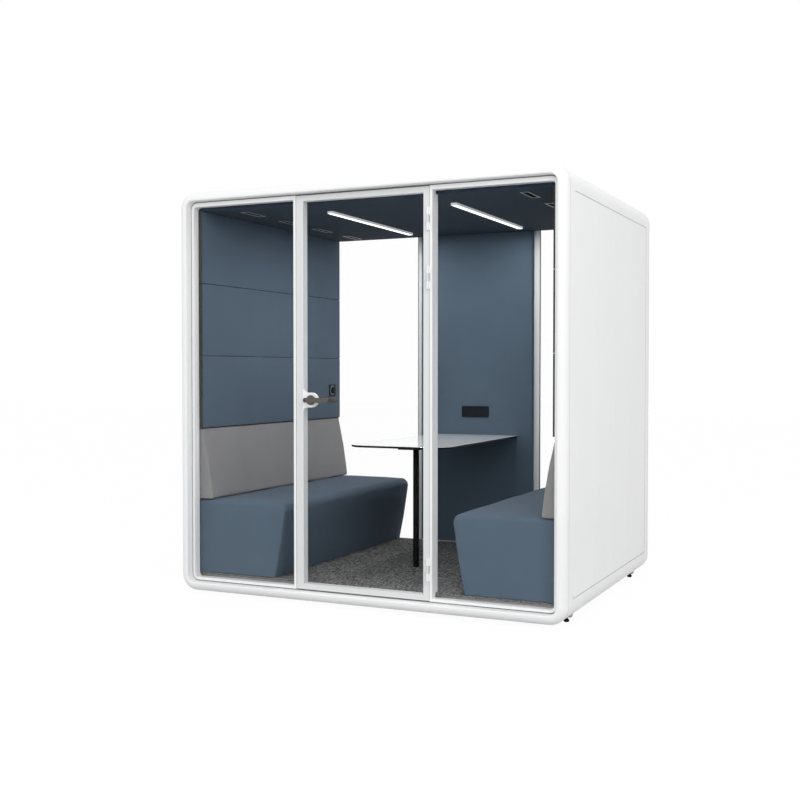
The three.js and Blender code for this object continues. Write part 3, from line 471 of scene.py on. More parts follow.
def opal(name):
    """The lit diffuser of a lamp."""
    material, nodes, links, shader = new_material(name)
    cloud = noise(nodes, links, scale=30.0, detail=2.0)
    white = ramp(nodes, links, cloud, OPAL_COOL, WHITE)
    links.new(white, shader.inputs["Base Color"])
    links.new(white, shader.inputs["Emission Color"])
    shader.inputs["Emission Strength"].default_value = 1.6
    shader.inputs["Roughness"].default_value = 0.4
    return material


def glowing_lamp_shell(name):
    """The pale sides of a lamp, lightened by a weak painted glow."""
    material = coated(name, LAMP_GREY, 0.35, grain=1500.0)
    shader = material.node_tree.nodes["Principled BSDF"]
    # Painted glow: the housing gives off a little light of its own colour
    shader.inputs["Emission Color"].default_value = (*LAMP_GREY, 1.0)
    shader.inputs["Emission Strength"].default_value = 0.35
    return material


PAINT = coated("white_paint", SHELL_WHITE, 0.42, contrast=0.010, grain_strength=0.03)
FRAME_PAINT = coated("frame_paint", FRAME_GREY, 0.40, contrast=0.010, grain_strength=0.03)
BLUE = woven("blue_fabric", BLUE_DARK, BLUE_LIGHT)
# The ceiling's fabric: the blue fabric darkened with painted shade
SHADED_CEILING_BLUE = woven(
    "shaded_ceiling_fabric", scaled_channels(BLUE_DARK, CEILING_SHADE), scaled_channels(BLUE_LIGHT, CEILING_SHADE))
GREY = woven("grey_fabric", GREY_DARK, GREY_LIGHT)
CARPET = loop_pile("carpet")
GLASS = clear_glass("clear_glass")
WHITE_TOP = coated(
    "white_laminate", LAMINATE, 0.08, contrast=0.006, grain=1200.0, grain_strength=0.004)
DARK_METAL = coated(
    "black_metal", BLACK, 0.62, grain=900.0, grain_strength=0.02, contrast=0.06, specular=0.12)
DARK_PLASTIC = coated(
    "black_plastic", BLACK_WARM, 0.58, grain=1500.0, grain_strength=0.1, contrast=0.12, specular=0.15)
LEVER = coated("lever_steel", LEVER_METAL, 0.38, metallic=0.85, grain=1800.0, contrast=0.06)
HOUSING = coated("lamp_aluminium", ALUMINIUM, 0.45, metallic=0.25, grain=1500.0)
LAMP_SHELL_GLOW = glowing_lamp_shell("lamp_shell_glow")
OPAL = opal("lamp_diffuser")
WHEEL = coated("grey_nylon", NYLON, 0.55, grain=900.0, contrast=0.06)
# Grey of the painted shade in the trim groove
GROOVE = coated("groove_shade_ring", GROOVE_GREY, 0.7, grain=1200.0, contrast=0.05, specular=0.25)
# Rubber for the seals and the trim joint, and painted shadow in the side seams and on the board ends
RUBBER_AND_SHADE = coated(
    "dark_rubber_and_shade", GASKET_AND_SHADE, 0.75, grain=1200.0, grain_strength=0.15, contrast=0.1, specular=0.25)


# Mesh helpers
def add_mesh(name, verts, faces, materials, face_materials=None, crease=40.0):
    mesh = bpy.data.meshes.new(name)
    mesh.from_pydata([tuple(v) for v in verts], [], faces)
    for material in materials:
        mesh.materials.append(material)
    if face_materials:
        mesh.polygons.foreach_set("material_index", face_materials)
    grid = bmesh.new()
    grid.from_mesh(mesh)
    bmesh.ops.remove_doubles(grid, verts=grid.verts, dist=WELD)
    bmesh.ops.recalc_face_normals(grid, faces=grid.faces)
    grid.to_mesh(mesh)
    grid.free()
    mesh.polygons.foreach_set("use_smooth", [True] * len(mesh.polygons))
    mesh.set_sharp_from_angle(angle=math.radians(crease))
    piece = bpy.data.objects.new(name, mesh)
    bpy.context.scene.collection.objects.link(piece)
    return piece


def fasten(piece, body, slot, *nodes):
    """Puts a piece on its body, in place of the solids that it stands for; its slot is not used."""
    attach(piece, body)
    if nodes:
        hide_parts(*nodes)
    return piece


def soften(piece, width, segments=3, angle=32.0):
    """Rounds the sharp edges of a piece and keeps its flat faces flat."""
    bevel = piece.modifiers.new("edges", "BEVEL")
    bevel.width = width
    bevel.segments = segments
    bevel.limit_method = "ANGLE"
    bevel.angle_limit = math.radians(angle)
    bevel.use_clamp_overlap = True
    piece.modifiers.new("normals", "WEIGHTED_NORMAL").keep_sharp = True
    return piece


def dressed(node, body, slot, material, width, segments=3):
    """A finished copy of a rigid solid: clean flat faces and rounded edges."""
    grid = bmesh.new()
    grid.from_mesh(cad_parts[node].data)
    bmesh.ops.remove_doubles(grid, verts=grid.verts, dist=COPY_WELD)
    bmesh.ops.dissolve_limit(grid, angle_limit=math.radians(1.0), verts=grid.verts, edges=grid.edges)
    grid.verts.index_update()
    verts = [v.co.copy() for v in grid.verts]
    faces = [[v.index for v in face.verts] for face in grid.faces]
    grid.free()
    piece = add_mesh(f"{node}_finish", verts, faces, [material])
    soften(piece, width, segments)
    return fasten(piece, body, slot, node)


def arc(center, radius, start, end, steps):
    """Points along an arc between two angles in degrees."""
    turns = [math.radians(start + (end - start) * i / steps) for i in range(steps + 1)]
    return [(center[0] + radius * math.cos(t), center[1] + radius * math.sin(t)) for t in turns]


def strip_faces(rows, size, closed_rows=False, closed_loop=True):
    """Quads between loops of the same number of points."""
    faces = []
    last = rows if closed_rows else rows - 1
    for row in range(last):
        following = (row + 1) % rows
        for i in range(size if closed_loop else size - 1):
            j = (i + 1) % size
            faces.append((row * size + i, row * size + j, following * size + j, following * size + i))
    return faces


def turned(name, profile, place, axis, material, sides=48, closed=False):
    """A turned solid: profile is [radius, height] from end to end on the axis, or a closed ring."""
    verts = []
    for radius, height in profile:
        for i in range(sides):
            angle = 2 * math.pi * i / sides
            verts.append((radius * math.cos(angle), radius * math.sin(angle), height))
    faces = strip_faces(len(profile), sides, closed_rows=closed)
    turn = Vector((0, 0, 1)).rotation_difference(Vector(axis)).to_matrix().to_4x4()
    where = Matrix.Translation(place) @ turn
    return add_mesh(name, [where @ Vector(v) for v in verts], faces, [material])


def disc(name, radius, low, high, edge, place, axis, material):
    """A round plate with a rounded rim at its outer end."""
    profile = [(0.0, low), (radius, low)]
    profile += arc((radius - edge, high - edge), edge, 0, 90, 5)
    profile.append((0.0, high))
    return turned(name, profile, place, axis, material)


def plate(name, outline, y0, y1, material, width=0.001, segments=3, crease=40.0):
    """A flat plate with the given outline in X and Z, from y0 to y1."""
    size = len(outline)
    verts = [(x, y0, z) for x, z in outline] + [(x, y1, z) for x, z in outline]
    faces = strip_faces(2, size)
    faces.append(list(range(size)))
    faces.append(list(range(size, 2 * size)))
    return soften(add_mesh(name, verts, faces, [material], crease=crease), width, segments)


def block(name, x_range, y_range, z_range, material, width=0.0004):
    (x0, x1), (y0, y1), (z0, z1) = x_range, y_range, z_range
    return plate(name, [(x0, z0), (x1, z0), (x1, z1), (x0, z1)], y0, y1, material, width, 2)


def rounded_outline(bounds, radii, inset=0.0, steps=6):
    """X and Z round a window, from its lower right corner; radii follow the corners."""
    x0, x1, z0, z1 = bounds
    corners = [(x1, z0, -1, 1), (x1, z1, -1, -1), (x0, z1, 1, -1), (x0, z0, 1, 1)]
    points = []
    for i, (x, z, to_x, to_z) in enumerate(corners):
        center = (x + to_x * max(radii[i], inset), z + to_z * max(radii[i], inset))
        points += arc(center, max(radii[i] - inset, 0.0), 90 * i - 90, 90 * i, steps)
    return points


def window_ring(name, bounds, radii, width, y0, y1, material):
    """A flat frame along the inside of a window."""
    outer = rounded_outline(bounds, radii, FIT)
    inner = rounded_outline(bounds, radii, FIT + width)
    verts = []
    for outline, y in ((outer, y0), (inner, y0), (inner, y1), (outer, y1)):
        verts += [(x, y, z) for x, z in outline]
    faces = strip_faces(4, len(outer), closed_rows=True)
    return add_mesh(name, verts, faces, [material])


def joined(name, pieces):
    """One object from several, with their modifiers applied."""
    bpy.context.view_layer.update()
    graph = bpy.context.evaluated_depsgraph_get()
    merged = bmesh.new()
    materials = []
    for piece in pieces:
        mesh = bpy.data.meshes.new_from_object(piece.evaluated_get(graph))
        mesh.transform(piece.matrix_world)
        first = len(merged.faces)
        merged.from_mesh(mesh)
        merged.faces.ensure_lookup_table()
        for face in merged.faces[first:]:
            material = mesh.materials[face.material_index]
            if material not in materials:
                materials.append(material)
            face.material_index = materials.index(material)
        bpy.data.meshes.remove(mesh)
        bpy.data.objects.remove(piece)
    result = bpy.data.meshes.new(name)
    merged.to_mesh(result)
    merged.free()
    for material in materials:
        result.materials.append(material)
    whole = bpy.data.objects.new(name, result)
    bpy.context.scene.collection.objects.link(whole)
    return whole


# Shell
def trim_section():
    """Outward from the opening, back from the face plane: a round nose, the joint, the back."""
    inner, outer = TRIM_INNER_ROUND, TRIM_OUTER_ROUND
    points = arc((inner, inner - TRIM_FORWARD), inner, 180, 270, 6)
    points += arc((TRIM_WIDTH - outer, outer - TRIM_FORWARD), outer, 270, 360, 18)
    joint = [(-TRIM_JOINT_HALF, 0.0), (0.0, TRIM_JOINT_HALF), (TRIM_JOINT_HALF, 0.0)]
    points += [(TRIM_WIDTH - depth, TRIM_JOINT + shift) for shift, depth in joint]
    points += [(TRIM_WIDTH, TRIM_BACK - TRIM_CHAMFER), (TRIM_WIDTH - TRIM_CHAMFER, TRIM_BACK)]
    points += [(-TRIM_LAP, TRIM_BACK), (-TRIM_LAP, TRIM_LAP_START + 2 * TRIM_LAP_CHAMFER)]
    points += [(TRIM_LAP_CHAMFER - TRIM_LAP, TRIM_LAP_START), (0.0, TRIM_LAP_START), (0.0, -TRIM_REVEAL)]
    return points


def trim_ring(name, side, node, corner_steps=24):
    """The trim's section led round the four corners of the opening, with a dark joint."""
    corners = [
        (CORNER_X, CORNER_LOW, -90), (CORNER_X, CORNER_HIGH, 0),
        (-CORNER_X, CORNER_HIGH, 90), (-CORNER_X, CORNER_LOW, 180),
    ]
    verts = []
    section = trim_section()
    for out, back in section:
        for x, z, start in corners:
            loop = arc((x, z), INNER_RADIUS + out, start, start + 90, corner_steps)
            verts += [(px, side * (FACE - back), pz) for px, pz in loop]
    size = len(corners) * (corner_steps + 1)
    faces = strip_faces(len(section), size, closed_rows=True)
    kinds = []
    depths = [back for _, back in section]
    for back, following in zip(depths, depths[1:] + depths[:1]):
        groove = max(abs(back - TRIM_JOINT), abs(following - TRIM_JOINT)) < 2 * TRIM_JOINT_HALF
        kinds += [int(groove)] * size
    piece = add_mesh(name, verts, faces, [PAINT, RUBBER_AND_SHADE], kinds, crease=30.0)
    return fasten(piece, "pod", "white_paint", node)


def roof_outline(steps=24):
    """X and Z of the bent roof sheet: over the outside from right to left, and back inside."""
    inner_radius = SHELL_RADIUS - ROOF_THICKNESS
    inner_edge = SHELL_HALF - ROOF_THICKNESS
    points = [(SHELL_HALF, UPPER_SEAM)]
    points += arc((CORNER_X, CORNER_HIGH), SHELL_RADIUS, 0, 90, steps)
    points += arc((-CORNER_X, CORNER_HIGH), SHELL_RADIUS, 90, 180, steps)
    points += [(-SHELL_HALF, UPPER_SEAM), (-inner_edge, UPPER_SEAM)]
    points += arc((-CORNER_X, CORNER_HIGH), inner_radius, 180, 90, steps)
    points += arc((CORNER_X, CORNER_HIGH), inner_radius, 90, 0, steps)
    points.append((inner_edge, UPPER_SEAM))
    return points


trim_ring("front_trim_finish", -1, "front_trim")
trim_ring("rear_trim_finish", 1, "rear_trim")
roof = plate("roof_shell_finish", roof_outline(), -ROOF_END, ROOF_END, PAINT, SHEET_EDGE)
fasten(roof, "pod", "white_paint", "roof_shell")
for node in ("floor_base", "right_side_panel", "left_side_panel"):
    dressed(node, "pod", "white_paint", PAINT, SHEET_EDGE)
dressed("rear_wall_panel", "pod", "white_paint", PAINT, PANEL_EDGE)
for side, _ in SIDES:
    dressed(f"front_{side}_frame", "pod", "white_paint", PAINT, FRAME_EDGE)
    dressed(f"rear_{side}_frame", "pod", "white_paint", PAINT, FRAME_EDGE)
for node in ("lower_hinge", "middle_hinge", "upper_hinge"):
    dressed(node, "pod", "white_paint", PAINT, HINGE_EDGE, segments=2)
dressed("door_frame", "door", "white_paint", FRAME_PAINT, DOOR_EDGE)


# Seals, and strips that are painted shade in the trim groove and the side seams
# Rings along windows: rubber seals at the rear panes and the door gap, and painted shade in the trim
# grooves
def seal(name, bounds, radii, width, y0, y1, material):
    fasten(window_ring(name, bounds, radii, width, y0, y1, material), "pod", "black_plastic")


def seam_shadow_strip(name, sign):
    """A thin dark strip in the seam round a side panel, painted shadow in the gap; it is white along the
    front trim.
    """
    outer = rounded_outline(SIDE_PANEL, [SIDE_CORNER] * 4)
    inner = rounded_outline(SIDE_PANEL, [SIDE_CORNER] * 4, SEAM_WIDTH)
    back, front = SHELL_HALF - SEAM_DEPTH, SHELL_HALF + SEAM_PROUD
    verts = []
    for outline, depth in ((outer, back), (inner, back), (inner, front), (outer, front)):
        verts += [(sign * depth, y, z) for y, z in outline]
    faces = strip_faces(4, len(outer), closed_rows=True)
    kinds = [int(max(verts[i][1] for i in face) < SEAM_WHITE_END) for face in faces]
    fasten(add_mesh(name, verts, faces, [RUBBER_AND_SHADE, PAINT], kinds), "pod", "black_plastic")


RIGHT_CORNERS = [PANE_CORNER, PANE_CORNER, SHARP_CORNER, SHARP_CORNER]
LEFT_CORNERS = [SHARP_CORNER, SHARP_CORNER, PANE_CORNER, PANE_CORNER]
REAR_GASKET_Y = (REAR_GLASS_INSIDE - FIT - REAR_GASKET_DEPTH, REAR_GLASS_INSIDE - FIT)
LEFT_PANE_REAR = (-PANE_REAR[1], -PANE_REAR[0], *PANE_REAR[2:])
seal("rear_right_gasket", PANE_REAR, RIGHT_CORNERS, REAR_GASKET_WIDTH, *REAR_GASKET_Y, RUBBER_AND_SHADE)
seal("rear_left_gasket", LEFT_PANE_REAR, LEFT_CORNERS, REAR_GASKET_WIDTH, *REAR_GASKET_Y, RUBBER_AND_SHADE)

OPENING = (
    -CORNER_X - INNER_RADIUS, CORNER_X + INNER_RADIUS,
    CORNER_LOW - INNER_RADIUS, CORNER_HIGH + INNER_RADIUS)
# Painted shade: grey rings close the grooves between the trims and the frames
for end, sign in (("front", -1), ("rear", 1)):
    depths = sorted(sign * (FACE - back) for back in GROOVE_SHADE_BACK)
    seal(f"{end}_groove_shade_ring", OPENING, [INNER_RADIUS] * 4, GROOVE_SHADE_WIDTH, *depths, GROOVE)
seal("door_gap_seal", DOOR_OPENING, [SHARP_CORNER] * 4, DOOR_SEAL_WIDTH, *DOOR_SEAL_Y, RUBBER_AND_SHADE)
# Painted shadow in the seams round the side panels
for side, sign in SIDES:
    seam_shadow_strip(f"{side}_seam_shadow_strip", sign)


# Fabric-covered boards
def drawn_in(distance, radius):
    """How far a rounded edge lies inside its flat face, at a distance from the end."""
    short = max(0.0, radius - distance)
    return radius - math.sqrt(radius * radius - short * short)


def edge_positions(length, radius, step):
    """Places along a board, close together on its rounded edges."""
    turns = [math.radians(angle) for angle in EDGE_ANGLES]
    rounded = [radius * (1 - math.cos(turn)) for turn in turns]
    count = max(2, round((length - 2 * radius) / step))
    middle = [radius + (length - 2 * radius) * i / count for i in range(1, count)]
    return rounded + middle + [length - p for p in reversed(rounded)]


def padded_board(name, width, height, thickness, where, material, radius=0.006, crown=0.0025, step=0.06):
    """A board under stretched fabric: rounded edges and a slightly full face. It is built lying flat
    in the first quarter of X and Y, with the fabric side up, and then put in its place."""
    columns = edge_positions(width, radius, step)
    rows = edge_positions(height, radius, step)
    verts = []
    for y in rows:
        for x in columns:
            fall = drawn_in(min(x, width - x), radius) + drawn_in(min(y, height - y), radius)
            swell = crown * (1 - (2 * x / width - 1) ** 4) * (1 - (2 * y / height - 1) ** 4)
            verts.append((x, y, thickness - min(radius, fall) + swell - crown))
    across, up = len(columns), len(rows)
    faces = strip_faces(up, across, closed_loop=False)
    rim = list(range(across)) + [r * across + across - 1 for r in range(1, up)]
    rim += [(up - 1) * across + i for i in range(across - 2, -1, -1)]
    rim += [r * across for r in range(up - 2, 0, -1)]
    base = len(verts)
    verts += [(verts[i][0], verts[i][1], 0.0) for i in rim]
    for i in range(len(rim)):
        j = (i + 1) % len(rim)
        faces.append((rim[i], rim[j], base + j, base + i))
    faces.append(list(range(base, base + len(rim))))
    return add_mesh(name, [where @ Vector(v) for v in verts], faces, [material], crease=60.0)


def axes(origin, across, up, out):
    """The placing that puts X, Y and Z along three given directions at an origin."""
    columns = [Vector(across), Vector(up), Vector(out), Vector(origin)]
    return Matrix([[column[row] for column in columns] for row in range(3)] + [[0, 0, 0, 1]])


BOARD_EDGE_Y = (CABIN_Y0 - BOARD_EDGE_DEPTH, CABIN_Y0 - FIT)
LINING_DEPTH = CABIN_Y1 - CABIN_Y0
LINING_THICKNESS = LINING_BACK - LINING_FACE


def wall_lining(side, sign, row):
    """One fabric board of a side wall, and a dark strip of painted shade on its front end."""
    low = LINING_LOW + LINING_PITCH * (row - 1)
    high = min(low + LINING_PITCH - LINING_GAP, LINING_TOP)
    node = f"{side}_wall_lining_{row}"
    where = axes((sign * LINING_BACK, CABIN_Y0, low), (0, 1, 0), (0, 0, 1), (-sign, 0, 0))
    board = padded_board(
        f"{node}_fabric", LINING_DEPTH, high - low, LINING_THICKNESS, where, BLUE, radius=LINING_EDGE)
    fasten(board, "pod", "blue_fabric", node)
    across = sorted((sign * (LINING_FACE + FIT), sign * LINING_BACK))
    # Painted shade: a dark strip on the board's front end
    edge = block(f"{side}_board_end_shade_{row}", across, BOARD_EDGE_Y, (low + FIT, high - FIT), RUBBER_AND_SHADE)
    fasten(edge, "pod", "black_plastic")


for row in range(1, LINING_ROWS + 1):
    for side, sign in SIDES:
        wall_lining(side, sign, row)

rear_place = axes(
    (-REAR_LINING_HALF, REAR_LINING[1], CARPET_TOP + FIT), (1, 0, 0), (0, 0, 1), (0, -1, 0))
rear_board = padded_board(
    "rear_wall_lining_fabric", 2 * REAR_LINING_HALF, CEILING - CARPET_TOP - 2 * FIT,
    REAR_LINING[1] - REAR_LINING[0], rear_place, BLUE)
fasten(rear_board, "pod", "blue_fabric", "rear_wall_lining")
# The ceiling panel wears the blue fabric with painted shade
dressed("ceiling_panel", "pod", "blue_fabric", SHADED_CEILING_BLUE, CEILING_EDGE)
skirting = block(
    "rear_skirting", (-REAR_LINING_HALF, REAR_LINING_HALF),
    (REAR_LINING[0] - SKIRTING_DEPTH, REAR_LINING[0] - FIT),
    (CARPET_TOP + FIT, CARPET_TOP + SKIRTING_HEIGHT), HOUSING)
fasten(skirting, "pod", "lamp_aluminium")


# Carpet
def pile_height(i, j):
    """A fixed pattern from 0 to 1 that looks irregular."""
    sway = PILE_SWAY * math.sin(i * PILE_SLOW[0] + j * PILE_SLOW[1])
    return 0.5 + 0.5 * math.sin(PILE_FAST[0] * i + PILE_FAST[1] * j + sway)


def carpet(step=0.011, depth=0.0012):
    """Loop pile: a fine grid whose points stand a little higher and lower in a fixed pattern."""
    across = round(2 * CARPET_HALF / step)
    along = round((CABIN_Y1 - CABIN_Y0) / step)
    verts = []
    for j in range(along + 1):
        for i in range(across + 1):
            x = -CARPET_HALF + 2 * CARPET_HALF * i / across
            y = CABIN_Y0 + (CABIN_Y1 - CABIN_Y0) * j / along
            verts.append((x, y, CARPET_TOP - depth * pile_height(i, j)))
    faces = strip_faces(along + 1, across + 1, closed_loop=False)
    base = len(verts)
    verts += [(x, y, CARPET_UNDER) for x in (-CARPET_HALF, CARPET_HALF) for y in (CABIN_Y0, CABIN_Y1)]
    size = across + 1
    faces.append([base, base + 2] + list(range(across, -1, -1)))
    faces.append([base + 3, base + 1] + [along * size + i for i in range(size)])
    faces.append([base + 1, base] + [j * size for j in range(along + 1)])
    faces.append([base + 2, base + 3] + [j * size + across for j in range(along, -1, -1)])
    faces.append([base, base + 1, base + 3, base + 2])
    piece = add_mesh("carpet_pile", verts, faces, [CARPET], crease=60.0)
    return fasten(piece, "pod", "carpet", "carpet")


carpet()


# Benches and backrests
def rounded_corner(center, radius, start, end, steps):
    """Points of an arc, each with its outward direction."""
    points = []
    for x, z in arc(center, radius, start, end, steps):
        points.append((x, z, (x - center[0]) / radius, (z - center[1]) / radius))
    return points


def full_side(start, end, out, swell, steps):
    """Points of a slightly full side between two corners, each with its outward direction."""
    points = []
    for i in range(1, steps):
        t = i / steps
        push = swell * math.sin(math.pi * t)
        x = start[0] + (end[0] - start[0]) * t + out[0] * push
        z = start[1] + (end[1] - start[1]) * t + out[1] * push
        points.append((x, z, *out))
    return points


def bench_section():
    """X and Z of the exposed outline, from the back of the top, over the nose, to the floor."""
    undercut = BENCH_FOOT_X - BENCH_NOSE[0] + NOSE_RADIUS
    lean = 180 + math.degrees(math.atan2(undercut, BENCH_TOP - BENCH_LOW))
    out = (math.cos(math.radians(lean)), math.sin(math.radians(lean)))
    nose = rounded_corner(BENCH_NOSE, NOSE_RADIUS, 90, lean, 16)
    back = (BENCH_BACK, BENCH_TOP)
    foot = (BENCH_FOOT_X, BENCH_LOW)
    points = [(*back, 0.0, 1.0)]
    points += full_side(back, nose[0][:2], (0.0, 1.0), swell=BENCH_TOP_SWELL, steps=15)
    points += nose
    points += full_side(nose[-1][:2], foot, out, swell=BENCH_FRONT_SWELL, steps=14)
    points.append((*foot, *out))
    return points


def backrest_section():
    """X and Z of the exposed outline, from the top of the wall side to the foot of the wedge."""
    head = rounded_corner(BACK_HEAD, BACK_RADIUS, 80, 175, 8)
    foot = rounded_corner(BACK_FOOT, BACK_RADIUS, 180, 262, 7)
    start, end = head[-1][:2], foot[0][:2]
    out = Vector((end[1] - start[1], start[0] - end[0])).normalized()
    points = [(BENCH_BACK, BACK_TOP, 0.0, 1.0)]
    points += head
    points += full_side(start, end, tuple(out), swell=BACK_SWELL, steps=18)
    points += foot
    points.append((BACK_FOOT[0] + BACK_RADIUS, BACK_LOW, 0.0, -1.0))
    return points


def end_stations(reach, count=44):
    """Places along Y from end to end, close together where the ends are rounded."""
    low, high = BENCH_Y
    near = [reach * share for share in END_SHARES]
    first, last = low + reach, high - reach
    middle = [first + (last - first) * i / count for i in range(1, count)]
    return [low + s for s in near] + middle + [high - s for s in reversed(near)]


def end_cap(verts, faces, ring, center, direction, steps=6):
    """Closes an end with rings that shrink to its centre and stand out a little."""
    size = len(ring)
    middle_x, middle_z = center
    edge = [verts[i] for i in ring]
    for step in range(1, steps):
        share = 1 - step / steps
        full = direction * END_FULLNESS * (1 - share ** 2)
        start = len(verts)
        for x, y, z in edge:
            inner_x = middle_x + (x - middle_x) * share
            inner_z = middle_z + (z - middle_z) * share
            verts.append((inner_x, y + full, inner_z))
        inner = list(range(start, start + size))
        for i in range(size):
            j = (i + 1) % size
            faces.append((ring[i], ring[j], inner[j], inner[i]))
        ring = inner
    verts.append((middle_x, edge[0][1] + direction * END_FULLNESS, middle_z))
    tip = len(verts) - 1
    faces += [(ring[i], ring[(i + 1) % size], tip) for i in range(size)]


def upholstered(name, section, foot, sign, radii, material):
    """A foam block under tight fabric, lofted along Y. The end edges are rounded by the first radius
    on the sides and by the second along the top."""
    stations = end_stations(max(radii))
    low, high = BENCH_Y
    verts = []
    for y in stations:
        along = (y - low) / (high - low)
        ripple = FABRIC_RIPPLE * math.sin(RIPPLE_ALONG * along) * math.sin(math.pi * along)
        for i, (x, z, out_x, out_z) in enumerate(section):
            radius = radii[0] + (radii[1] - radii[0]) * max(0.0, out_z)
            wave = FABRIC_WAVE * math.sin(WAVE_AROUND * i + WAVE_ALONG * along)
            push = ripple + wave - drawn_in(min(y - low, high - y), radius)
            verts.append((sign * (x + out_x * push), y, max(z + out_z * push, foot)))
        verts.append((sign * BENCH_BACK, y, foot))
    size = len(section) + 1
    faces = strip_faces(len(stations), size)
    reach = min(point[0] for point in section)
    top = max(point[1] for point in section)
    center = (sign * 0.5 * (BENCH_BACK + reach), 0.5 * (foot + top))
    for row, direction in ((0, -1), (len(stations) - 1, 1)):
        end_cap(verts, faces, list(range(row * size, (row + 1) * size)), center, direction)
    return add_mesh(name, verts, faces, [material], crease=55.0)


for side, sign in SIDES:
    bench = upholstered(
        f"{side}_bench_cover", bench_section(), BENCH_LOW, sign, BENCH_END_RADII, BLUE)
    fasten(bench, "pod", "blue_fabric", f"{side}_bench")
    back = upholstered(
        f"{side}_backrest_cover", backrest_section(), BACK_LOW, sign, BACK_END_RADII, GREY)
    fasten(back, "pod", "grey_fabric", f"{side}_backrest")


# Table
def table_outline(inset):
    """Counter-clockwise from above; the rear edge stays at the wall."""
    inner = TABLE_FRONT_HALF - TABLE_CORNER
    center_y = TABLE_FRONT + TABLE_CORNER
    points = [(-(TABLE_BACK_HALF - inset), TABLE_REAR)]
    points += arc((-inner, center_y), TABLE_CORNER - inset, 180, 270, 20)
    points += arc((inner, center_y), TABLE_CORNER - inset, 270, 360, 20)
    points.append((TABLE_BACK_HALF - inset, TABLE_REAR))
    return points


def table():
    """White laminate on a dark core whose edge shows all round."""
    layers = [
        (LAMINATE_EASE, TABLE_TOP), (LAMINATE_EASE / 4, TABLE_TOP - LAMINATE_DEPTH / 2),
        (0.0, TABLE_TOP - LAMINATE_DEPTH), (0.0, TABLE_UNDER + TABLE_CHAMFER),
        (TABLE_CHAMFER, TABLE_UNDER),
    ]
    verts = []
    for inset, z in layers:
        verts += [(x, y, z) for x, y in table_outline(inset)]
    size = len(table_outline(0.0))
    faces = strip_faces(len(layers), size)
    kinds = [0] * size + [1] * (size * (len(layers) - 2))
    faces += [list(range(size)), list(range((len(layers) - 1) * size, len(layers) * size))]
    kinds += [0, 1]
    piece = add_mesh("table_top_finish", verts, faces, [WHITE_TOP, DARK_PLASTIC], kinds, crease=25.0)
    return fasten(piece, "pod", "white_laminate", "table_top")


table()
dressed("table_bracket", "pod", "black_metal", DARK_METAL, SHEET_EDGE)
post = disc(
    "table_post_finish", POST_RADIUS, POST_FOOT, POST_HEAD, POST_EDGE, POST_PLACE, (0, 0, 1), DARK_METAL)
fasten(post, "pod", "black_metal", "table_post")


# Lock
def outer_rosette():
    """A plate flush with the door's face that grows out of the stile with two fillets."""
    bend = STILE_EDGE + ROSETTE_FILLET
    high = LOCK_Z + ROSETTE_RADIUS + ROSETTE_FILLET
    low = LOCK_Z - ROSETTE_RADIUS - ROSETTE_FILLET
    outline = [(STILE_EDGE - ROSETTE_LAP, low)]
    outline += arc((bend, low), ROSETTE_FILLET, 180, 90, 12)
    outline += arc((LOCK_X, LOCK_Z), ROSETTE_RADIUS, -90, 90, 32)
    outline += arc((bend, high), ROSETTE_FILLET, 270, 180, 12)
    outline.append((STILE_EDGE - ROSETTE_LAP, high))
    front, back = DOOR_FRONT - ROSETTE_PROUD, GLASS_FRONT - FIT
    piece = plate("outer_rosette_finish", outline, front, back, PAINT, SHEET_EDGE)
    return fasten(piece, "door", "white_paint", "outer_rosette")


def inner_rosette():
    """A round plate on the glass, flush with the back of the door."""
    place = (LOCK_X, DOOR_BACK - INNER_ROSETTE_DEPTH, LOCK_Z)
    piece = disc(
        "inner_rosette_finish", INNER_ROSETTE_RADIUS, 0.0, INNER_ROSETTE_DEPTH, INNER_ROSETTE_EDGE,
        place, (0, 1, 0), LEVER)
    return fasten(piece, "door", "lever_steel", "inner_rosette")


def lever(name, y_root, direction, node):
    """A flat round boss, a neck, and a bar with round ends and a screw in its short end."""
    out = (0, direction, 0)
    place = (LOCK_X, y_root, LOCK_Z)
    bounds = (
        LOCK_X - LEVER_TAIL, LOCK_X + LEVER_LENGTH,
        LOCK_Z - LEVER_HALF_HEIGHT, LOCK_Z + LEVER_HALF_HEIGHT)
    back = y_root + direction * LEVER_STANDOFF
    front = back + direction * LEVER_THICKNESS
    outline = rounded_outline(bounds, [LEVER_HALF_HEIGHT] * 4, steps=10)
    screw_place = (LOCK_X - LEVER_TAIL + LEVER_HALF_HEIGHT, front, LOCK_Z)
    pieces = [
        disc(f"{name}_boss", BOSS_RADIUS, 0.0, BOSS_HEIGHT, BOSS_EDGE, place, out, LEVER),
        disc(f"{name}_neck", NECK_RADIUS, 0.0, LEVER_STANDOFF + NECK_LAP, NECK_EDGE, place, out, LEVER),
        plate(f"{name}_bar", outline, *sorted((back, front)), LEVER, LEVER_EDGE, segments=4),
        disc(
            f"{name}_screw", SCREW_RADIUS, -SCREW_SUNK, SCREW_PROUD, SCREW_EDGE, screw_place, out,
            DARK_PLASTIC),
    ]
    return fasten(joined(name, pieces), "lever", "lever_steel", node)


outer_rosette()
inner_rosette()
lever("outer_lever_finish", DOOR_FRONT - LEVER_GAP, -1, "outer_lever")
lever("inner_lever_finish", DOOR_BACK + LEVER_GAP, 1, "inner_lever")


# Lamps and vents
for side, _ in SIDES:
    # The lamp housings carry a painted glow
    dressed(f"{side}_lamp_housing", "pod", "lamp_aluminium", LAMP_SHELL_GLOW, LAMP_EDGE, segments=2)
    dressed(f"{side}_lamp_diffuser", "pod", "lamp_diffuser", OPAL, DIFFUSER_EDGE)


def around(middle, half):
    return middle - half, middle + half


